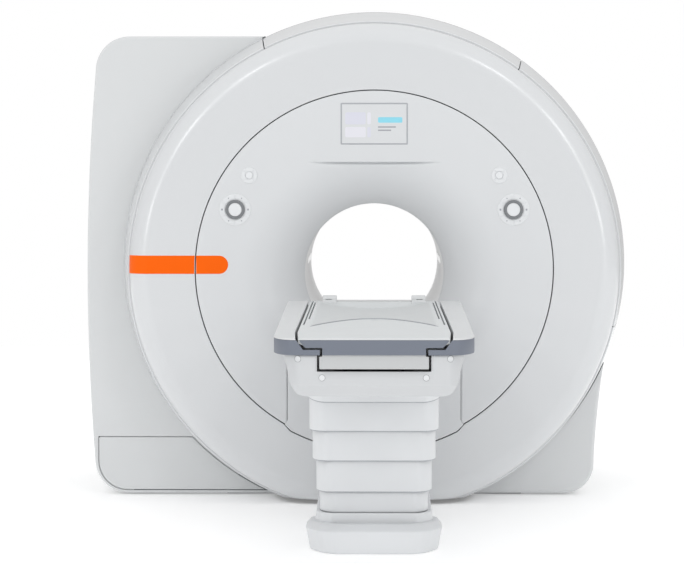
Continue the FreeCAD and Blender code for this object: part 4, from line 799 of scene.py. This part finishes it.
def controls():
    """Round controls: a key ring of six pads round a dial, and above it four pads round a button."""
    large, small, dots = [], [], []
    for side in (-1, 1):
        at = (side * 594.0, 1266.0)
        base = [(41.6, -784), (41.6, -810.6), (42.4, -811.4), (67.2, -811.4), (68, -810.6), (68, -809),
                (57, -808), (57, -784)]
        large.append(("turn", turned(base, 96, at)))
        large += [("pad", pad(at, 44.5, 66.5, 60 * i, 54, 3.4, -811, -812.8, 0.8)) for i in range(6)]
        for i in range(6):
            turn = math.radians(60 * i)
            spot = (at[0] + 55.5 * math.cos(turn), at[1] + 55.5 * math.sin(turn))
            size = 4.2 if i % 3 else 5.4
            way = turn if i % 3 else turn + math.pi
            mark = [(spot[0] + size * math.cos(way + a), spot[1] + size * math.sin(way + a))
                    for a in np.radians([0, 120, 240] if i % 3 else [45, 135, 225, 315])]
            dots.append(carried(rounded(mark, 0.8, 3), bar(-813.0, -812.5, 0.15, steps=3)))
        grip_turn = np.linspace(0, 2 * math.pi, 288, endpoint=False)
        knurl = 0.45 * (1 + np.cos(48 * grip_turn)) / 2
        section = np.array([(28.8, -800), (28.8, -819.2), (29.6, -821.2), (31.5, -822), (37.5, -822),
                            (39.8, -820.8), (40.8, -818), (41, -812), (41, -789.5)])
        share = np.array([0, 0, 0, 0, 0, 0.4, 1, 1, 0])
        radius = section[:, :1] - share[:, None] * knurl[None]
        grip = np.stack([at[0] + radius * np.cos(grip_turn), np.broadcast_to(section[:, 1:], radius.shape),
                         at[1] + radius * np.sin(grip_turn)], axis=-1)
        name = "left" if side < 0 else "right"
        hoop(f"dial_grip_{name}", [grip], f"dial_{name}", "dial_dark", [f"dial_{name}"], crease=40)
        cap = [(0.05, -818.6), (14, -818.8), (24, -819.6), (27.4, -820), (28.3, -819.2), (28.5, -817),
               (28.5, -801)]
        solid(f"dial_cap_{name}", [turned(cap, 72, at)], f"dial_{name}", "button_white")
        at = (side * 533.0, 1412.0)
        base = [(15.8, -784), (15.8, -810.4), (16.4, -811), (34.4, -811), (35, -810.4), (35, -784)]
        small.append(("turn", turned(base, 72, at)))
        small += [("pad", pad(at, 18, 33.5, 90 * i, 78, 1.7, -810.8, -812.8, 0.8)) for i in range(4)]
        press = [(0.05, -815), (8, -815.2), (12.6, -815.9), (14.2, -815.6), (15, -814.4), (15, -791)]
        solid(f"button_press_{name}", [turned(press, 60, at)], f"button_{name}", "button_white",
              [f"button_{name}"])
    for label, parts, node_name in (("key_pads_large", large, "control_units"),
                                    ("key_pads_small", small, "small_control_units")):
        solid(label, [grid for kind, grid in parts if kind == "pad"], "gantry", "key_grey", [node_name],
              crease=40)
        hoop(label + "_base", [grid for kind, grid in parts if kind == "turn"], "gantry", "key_grey")
    solid("key_marks", dots, "gantry", "key_grey", look=INKS[3])


def cradle_shade_bead():
    """Thin grey bead along the cradle's front edge, its dark colour painting the shade line at the step: a
    half-round section carried over the edge's curve.
    """
    x = np.linspace(-CRADLE_HALF, CRADLE_HALF, 121)
    turn = np.radians(np.linspace(0, 180, 9))
    foot_z = BOARD_TOP - 2
    reach = np.concatenate([-4 + 3 * np.cos(turn), [-7, -1]])
    rise = np.concatenate([885.8 + 3.4 * np.sin(turn), [foot_z, foot_z]])
    size = np.minimum(1, (CRADLE_HALF - np.abs(x)) / 30 + 0.25)[:, None]
    y = cradle_end(x)[:, None] + reach[None]
    grid = np.stack([np.broadcast_to(x[:, None], y.shape), y, foot_z + (rise[None] - foot_z) * size],
                    axis=-1)
    # painted shade: the bead's dark grey stands for the shade along the cradle's edge
    solid("cradle_shade_bead", [grid], "table", "display_frame", crease=60)


def swept_corner():
    """Front corner of the long covers in plan: a quarter of an ellipse, 74 mm across and 182 mm along."""
    return (270, -3250) + arc((0, 0), 1.0, -90, 0, 25) * (74, 182)


def side_frame_plan(side):
    """Long cover in plan, and each point's share of the edge rounding: little along the board."""
    outer = np.concatenate([swept_corner(), [(352, -2300), (361.6, -1170)], arc((312, -1040), 50, 4, 90, 12)])
    plan = np.concatenate([[(277, -990), (277, -3079), (265.5, -3432)], outer])
    return sided(plan, side), np.concatenate([[0.1, 0.1, 0.1], np.ones(len(outer))])


def side_frames():
    """Long covers: a core set in by the bumper's thickness under a cap whose top edge is round."""
    for side, name in ((-1, "left"), (1, "right")):
        plan, weight = side_frame_plan(side)
        turn = np.radians(np.linspace(0, 90, 7))
        cap = np.stack([5 * (1 - np.cos(turn)), BOARD_TOP - 5 + 5 * np.sin(turn)], axis=1)
        section = np.concatenate([[(12, HOUSING_TOP), (8, HOUSING_TOP), (8, 880.2), (0.4, 880.2), (0, 880.8)],
                                  cap, [(9, BOARD_TOP)]])
        solid(f"long_cover_{name}", [carried(plan, section, "z", weight)], "lift", "table_white",
              [f"side_frame_{name}"], crease=40)
        path = np.concatenate([[(x, BOARD_FRONT) for x in (183, 212, 240, 263)], swept_corner(),
                               [(352, -2300), (361.6, -1170)], arc((312, -1040), 50, 4, 60, 10)])
        top = np.where(path[:, 1] < BOARD_FRONT + 1, np.interp(path[:, 0], [240, 263], [847.2, 879.6]), 879.6)
        way = np.gradient(path, axis=0)
        way /= np.linalg.norm(way, axis=1, keepdims=True)
        way[:4] = (1, 0)
        inwards = np.stack([-way[:, 1], way[:, 0]], axis=1)
        depth = np.array([1.2, 0.4, 0, 0, 0.4, 1.2, 7.8, 7.8])
        level = np.array([0, 0.5, 1.4, 1.4, 0.5, 0, 0, 0])
        upper = np.array([0, 0, 0, 1, 1, 1, 1, 0])
        height = np.where(upper[None] == 1, top[:, None] - level[None], HOUSING_TOP + level[None])
        spot = path[:, None] + inwards[:, None] * depth[None, :, None]
        grid = np.stack([spot[..., 0] * side, spot[..., 1], height], axis=-1)
        solid(f"bumper_strip_{name}", [grid], "lift", "slate_trim", [f"bumper_{name}"], crease=35)


def front_end():
    """Moving end of the board: its slate strip, which widens upwards, and the stepped block below it."""
    strip = mirrored([(175, 829.2), (175, 853.5), (232, 853.5), (255.5, 879.7)])
    plate("bumper_strip_center", rounded(strip, 3, 4), BOARD_FRONT, -3424.2, 1.2, "table", "slate_trim",
          ["bumper_center"])
    block = mirrored([(185, 781), (185, 824), (175, 824), (175, 853)])
    # painted shade: the end block takes a darker copy of table_white
    plate("end_block", rounded(block, 3, 4), HOUSING_FRONT, -3328, 1.8, "table", "table_white",
          ["table_end_block"], look=FINISHES["apron_white_painted_shade"])


def housing_side():
    """One side of the tub seen from the front, top to bottom, with its bends rounded."""
    corners = [(0, HOUSING_TOP), (311, HOUSING_TOP), (297, 787), (285, 730), (262, 693), (236, HOUSING_LOW),
               (0, HOUSING_LOW)]
    points = rounded(corners, [0.01, 0.01, 160, 60, 22, 14, 0.01], 8)[17:54]
    first, second = points[:2]
    points = np.concatenate([[first, 0.67 * first + 0.33 * second, 0.33 * first + 0.67 * second], points[1:]])
    at = NOTCH_Z
    return np.concatenate([points[points[:, 1] > at], [(np.interp(at, points[::-1, 1], points[::-1, 0]), at)],
                           points[points[:, 1] < at]])


def housing():
    """Tub under the board: sides carried along Y, and two end faces, each notched in the middle."""
    right = housing_side()

    def plan(x, z):
        return (HOUSING_FRONT + 150 * (1 - np.sqrt(1 - ((np.abs(x) - 239) / 73).clip(0, 1) ** 2))
                + np.interp(z, [HOUSING_LOW, 724], [43, 0]))

    def end(notch_half, depth):
        inner = np.linspace(-1, 1, 15)[None] * np.full((len(right), 1), notch_half)
        share = 1 - (1 - np.linspace(0, 1, 16)[None]) ** 2
        outer = notch_half + (right[:, :1] - notch_half) * share
        below = right[:, 1] <= NOTCH_Z + 0.01
        grids = []
        for x, z in ((inner[below], right[below, 1:]), (outer, right[:, 1:]), (-outer, right[:, 1:])):
            z = np.broadcast_to(z, x.shape)
            grids.append(np.stack([x, depth(x, z), z], axis=-1))
        return grids

    front = end(193.0, plan)
    rear = end(234.0, lambda x, z: np.full(x.shape, HOUSING_REAR))
    bottom = np.concatenate([-front[1][-1][::-1, 0], front[0][-1][:, 0], front[1][-1][:, 0]])
    rear_side = rear[1][-1][:, 0]
    bottom = np.unique(np.round(np.concatenate([bottom, rear[0][-1][:, 0], rear_side, -rear_side]), 4))
    across_bottom = np.stack([bottom, np.full(len(bottom), right[-1, 1])], axis=1)
    around = np.concatenate([right * (-1, 1), across_bottom[1:-1], right[::-1]])
    begin = plan(around[:, 0], around[:, 1])
    along = begin[None] + (HOUSING_REAR - begin)[None] * np.linspace(0, 1, 8)[:, None]
    sides = np.insert(np.broadcast_to(around, along.shape + (2,)), 1, along, axis=-1)
    # painted shade: the tub takes a darker copy of table_white
    surface("housing_tub", [sides] + front + rear, "lift", "table_white", ["table_housing"],
            facing=(0, 0, -1), wall=5, crease=40, even=True, look=FINISHES["tub_white_painted_shade"])
    rim_of = [(10, -3420), (10, -3424.6), (9.2, -3425), (8.2, -3424.6), (7.8, -3424.2), (0.05, -3424.7)]
    groove_of = [(11.2, -3420), (11.2, -3424.4), (10.9, -3424.7), (10.1, -3424.7), (9.8, -3424.4),
                 (9.8, -3420)]
    places = ((-258, 816), (258, 816), (-176, 752), (176, 752))
    caps = [turned(rim_of, 40, at) for at in places]
    grooves = [turned(groove_of, 40, at) for at in places]
    for grid in caps + grooves:
        grid[..., 1] += plan(grid[..., 0], np.full(grid.shape[:2], 800.0)) - HOUSING_FRONT
    solid("housing_caps", caps, "lift", "column_white", crease=50)
    hoop("housing_cap_rings", grooves, "lift", "dial_dark", crease=50)


def neck():
    """Collar under the housing: a wall whose plan shrinks from the housing's width to the first cover's.

    Towards the sides the collar's lower edge rises with the seventh power of x.
    """
    outline = swept_rectangle(285, 2288, 1312, 96, 1.6)
    t = np.linspace(0, 1, 12)
    outer = np.stack([32.7 * (1 - (1 - t) ** 1.25), HOUSING_LOW - 119 * t], axis=1)
    section = np.concatenate([outer[:-1], [(32.5, 568), (33.4, 567), (36.2, 567), (37, 568), (5, 685.9)]])
    # painted shade: a thin dark strip under the collar's lower edge
    wiper = [(33.5, 572), (33.5, 564.5), (34.3, 563.7), (37.5, 563.7), (37.5, 572)]
    collar, shade_seal = carried(outline, section, "z"), carried(outline, wiper, "z")
    for grid in (collar, shade_seal):
        lift = 1 - 0.17 * (np.abs(grid[..., 0]) / 265).clip(0, 1) ** 7
        grid[..., 2] = HOUSING_LOW - (HOUSING_LOW - grid[..., 2]) * lift
    hoop("neck_wiper", [shade_seal], "lift", "display_frame")
    hoop("neck_collar", [collar], "lift", "column_white", ["neck_cover"])


def foot():
    """Foot: plans with cut front corners at rising heights, and a plinth on top.

    The plans lean out to an edge, go back over a slope, and return inside: the foot is hollow.
    """
    rear = -1290.0

    def plan(half, front):
        waist = half - 34
        right = [(waist, rear), (waist, -2036), (half, -2062), (half, -(front - 140)), (half - 63, -front)]
        return rounded(mirrored(right), [20, 20, 16, 110, 90, 90, 110, 16, 20, 20], 7)

    # Height, half width and distance of the front from Y = 0 of each plan
    stations = [(0, 239, 2322), (0.6, 241.5, 2324.5), (3, 244, 2327), (8, 246, 2329), (30, 250, 2333),
                (74, 257.5, 2340.5), (81, 259, 2342.4), (85, 259.9, 2343), (88, 259, 2341.5),
                (91, 256.5, 2337), (104, 245.5, 2314), (108, 242, 2306.5), (110, 237, 2299),
                (110, 219, 2279), (106, 215, 2275), (4, 215, 2275)]
    skin = np.stack([np.insert(plan(half, front), 2, z, axis=1) for z, half, front in stations])
    plinth = swept_rectangle(226, 2236, 1352, 72)
    section = [(0, 20), (0, 112), (4, 136), (5, 140), (8, 142.5), (12, 143), (20, 143), (23, 139), (23, 20)]
    base = carried(plinth, section, "z")
    hoop("foot_moulding", [skin, base], "gantry", "column_white", ["foot_cover"], crease=38)


def coil_sockets():
    """Connector housings: an L-shaped side view carried across, with a dark oval port on the low step."""
    for side, name in ((-1, "left"), (1, "right")):
        view = [(-985, 866), (-985, 909), (-1022, 909), (-1027, 897), (-1088, 892), (-1089, 866)]
        outline = rounded(view, [4, 8, 8, 4, 5, 4], 5)
        near, far = sorted((side * 157.0, side * 216.0))
        plate(f"socket_shell_{name}", outline, near, far, 3, "table", "table_white",
              [f"coil_socket_{name}"], axis="x")
        port = (side * 190.0, -1058.0) + arc((0, 0), 1.0, 0, 345, 24) * (14, 11)
        plate(f"socket_port_{name}", port, 886, 896, 0.6, "table", "dial_dark", axis="z")


def bore_lamps():
    """Light strips on the bore's wall: plates with round ends, bent to the tube a little above its axis."""
    strips, half, lean = [], 14, math.radians(6)
    t = np.linspace(0, 2 * math.pi, 40, endpoint=False)
    swing = half * np.sin(t) / BORE_R
    rows = [(BORE_R + 2, 1.0), (BORE_R - 1.4, 1.0), (BORE_R - 2.2, 0.93), (BORE_R - 2.2, 0.8)]
    for side in (-1, 1):
        for low, high in ((-80, 150), (230, 460)):
            middle = (low + high) / 2
            end = np.sign(np.cos(t)) * (np.abs(np.cos(t)) > 1e-9)
            y = ((high - low) / 2 - half) * end + half * np.cos(t)
            strips.append(np.stack([
                np.stack([side * r * np.cos(lean + swing * k), middle + y * (1 - (1 - k) * 0.1),
                          BORE_Z + r * np.sin(lean + swing * k)], axis=-1) for r, k in rows]))
    solid("bore_lamps", strips, "gantry", "bore_white", crease=40, look=INKS[4])


def build_gantry():
    """All pieces that ride on the gantry, and the dials and buttons in it."""
    front_ring()
    front_panel()
    bridge_cover()
    bore_tube()
    half = math.degrees(2 / RIM_R)
    rim("rim_top", "rim_cover_top", 54.1 + half, 116.5 - half)
    rim("rim_right", "rim_cover_right", -13.7 + half, 54.1 - half)
    rim("rim_lower_right", "rim_cover_lower_right", -90, -13.7 - half, floor=FLOOR_EDGE)
    rim("rim_left", "rim_cover_left", 116.5 + half, 270, rear=-445, floor=FLOOR_EDGE)
    rear_cover()
    cabinet("cabinet_left", "side_cover_left", *left_outline(), service_edge(SEAM))
    cabinet("cabinet_right", "side_cover_right", *right_outline())
    service_panel()
    stripe()
    display()
    controls()
    bore_lamps()


def build_table():
    """All pieces of the patient table, from the board down to the foot."""
    table_board()
    cradle_shade_bead()
    side_frames()
    front_end()
    housing()
    neck()
    foot()
    coil_sockets()
    shell("cover_1", "shell_1", "lift", 247, 2250, 1350, 458, 620, 11.7)
    shell("cover_2", "shell_2", "upper_shell", 235, 2238, 1362, 344, 500, 13.7)
    shell("cover_3", "shell_3", "lower_shell", 221, 2224, 1376, 224, 390, 13.7)
    shell("cover_4", "shell_4", "gantry", 207, 2210, 1390, 143, 270, 8, shade_seal=False)


# ---------------------------------------------------------------- stage

DOME = (0.52, 1.12)
PANELS = ((11.0, 0.8), (34.0, 1.0), (57.0, 1.0))
PANEL_REACH, PANEL_AWAY, PANEL_POWER = 30.0, 37.5, 1000.0
PANEL_SIZE = (6.0, 8.0)


def studio_dome():
    """White backdrop for the camera; as a light, a dome that grows brighter from horizon to top."""
    world = bpy.data.worlds.new("studio")
    world.use_nodes = True
    tree = world.node_tree
    tree.nodes.clear()
    way = node(tree, "ShaderNodeSeparateXYZ", {0: node(tree, "ShaderNodeTexCoord").outputs["Generated"]})
    height = node(tree, "ShaderNodeMapRange", {0: way.outputs["Z"], 1: -0.05, 2: 1.0, 3: DOME[0], 4: DOME[1]})
    lit = node(tree, "ShaderNodeBackground", {"Color": (1, 1, 1, 1), "Strength": height.outputs[0]})
    seen = node(tree, "ShaderNodeBackground", {"Color": (1, 1, 1, 1), "Strength": 1.0})
    eye = node(tree, "ShaderNodeLightPath").outputs["Is Camera Ray"]
    both = node(tree, "ShaderNodeMixShader", {0: eye, 1: lit.outputs[0], 2: seen.outputs[0]})
    node(tree, "ShaderNodeOutputWorld", {"Surface": both.outputs[0]})
    return world


def soft_panels():
    """Soft panels on two arcs round the line of sight; each panel faces the front of the machine."""
    target = np.array([0.0, FACE_Y * MM, DISC_Z * MM])
    for side in (-1, 1):
        for number, (rise, share) in enumerate(PANELS):
            turn = math.radians(rise)
            place = target + (side * PANEL_REACH * math.cos(turn), -PANEL_AWAY, PANEL_REACH * math.sin(turn))
            lamp = bpy.data.lights.new(f"panel_{number}", "AREA")
            lamp.shape, lamp.size, lamp.size_y = "RECTANGLE", *PANEL_SIZE
            lamp.energy = PANEL_POWER * share
            holder = bpy.data.objects.new(lamp.name, lamp)
            bpy.context.scene.collection.objects.link(holder)
            back = place - target
            back /= np.linalg.norm(back)
            along = np.array([-side * math.sin(turn), 0, math.cos(turn)])
            upward = np.cross(back, along)
            axes = np.stack([along, upward, back, place], axis=1)
            holder.matrix_world = Matrix(axes.tolist() + [[0, 0, 0, 1]])


def build_stage():
    """A pale floor, soft lights from both sides and above, and the camera."""
    scene = bpy.context.scene
    scene.view_settings.view_transform = "Standard"
    mesh = bpy.data.meshes.new("floor")
    mesh.from_pydata([(-30, -40, 0), (30, -40, 0), (30, 9, 0), (-30, 9, 0)], [], [(0, 1, 2, 3)])
    floor = bpy.data.objects.new("floor", mesh)
    scene.collection.objects.link(floor)
    mesh.materials.append(finish("studio_floor", (252, 252, 252), 0.9, clouding=0.0, depth=0.0, dust=0.0,
                                 glow=0.18))
    scene.world = studio_dome()
    soft_panels()
    camera = bpy.data.cameras.new("camera")
    focal, across_pixels, sensor = 2891, 684, 36
    camera.lens = focal / across_pixels * sensor
    camera.clip_end = 200
    holder = bpy.data.objects.new("camera", camera)
    scene.collection.objects.link(holder)
    holder.location = (0, -13.15, 1.52)
    holder.rotation_euler = (math.radians(90 - 2.614), 0, math.radians(0.638))
    scene.camera = holder


build_gantry()
build_table()
build_stage()
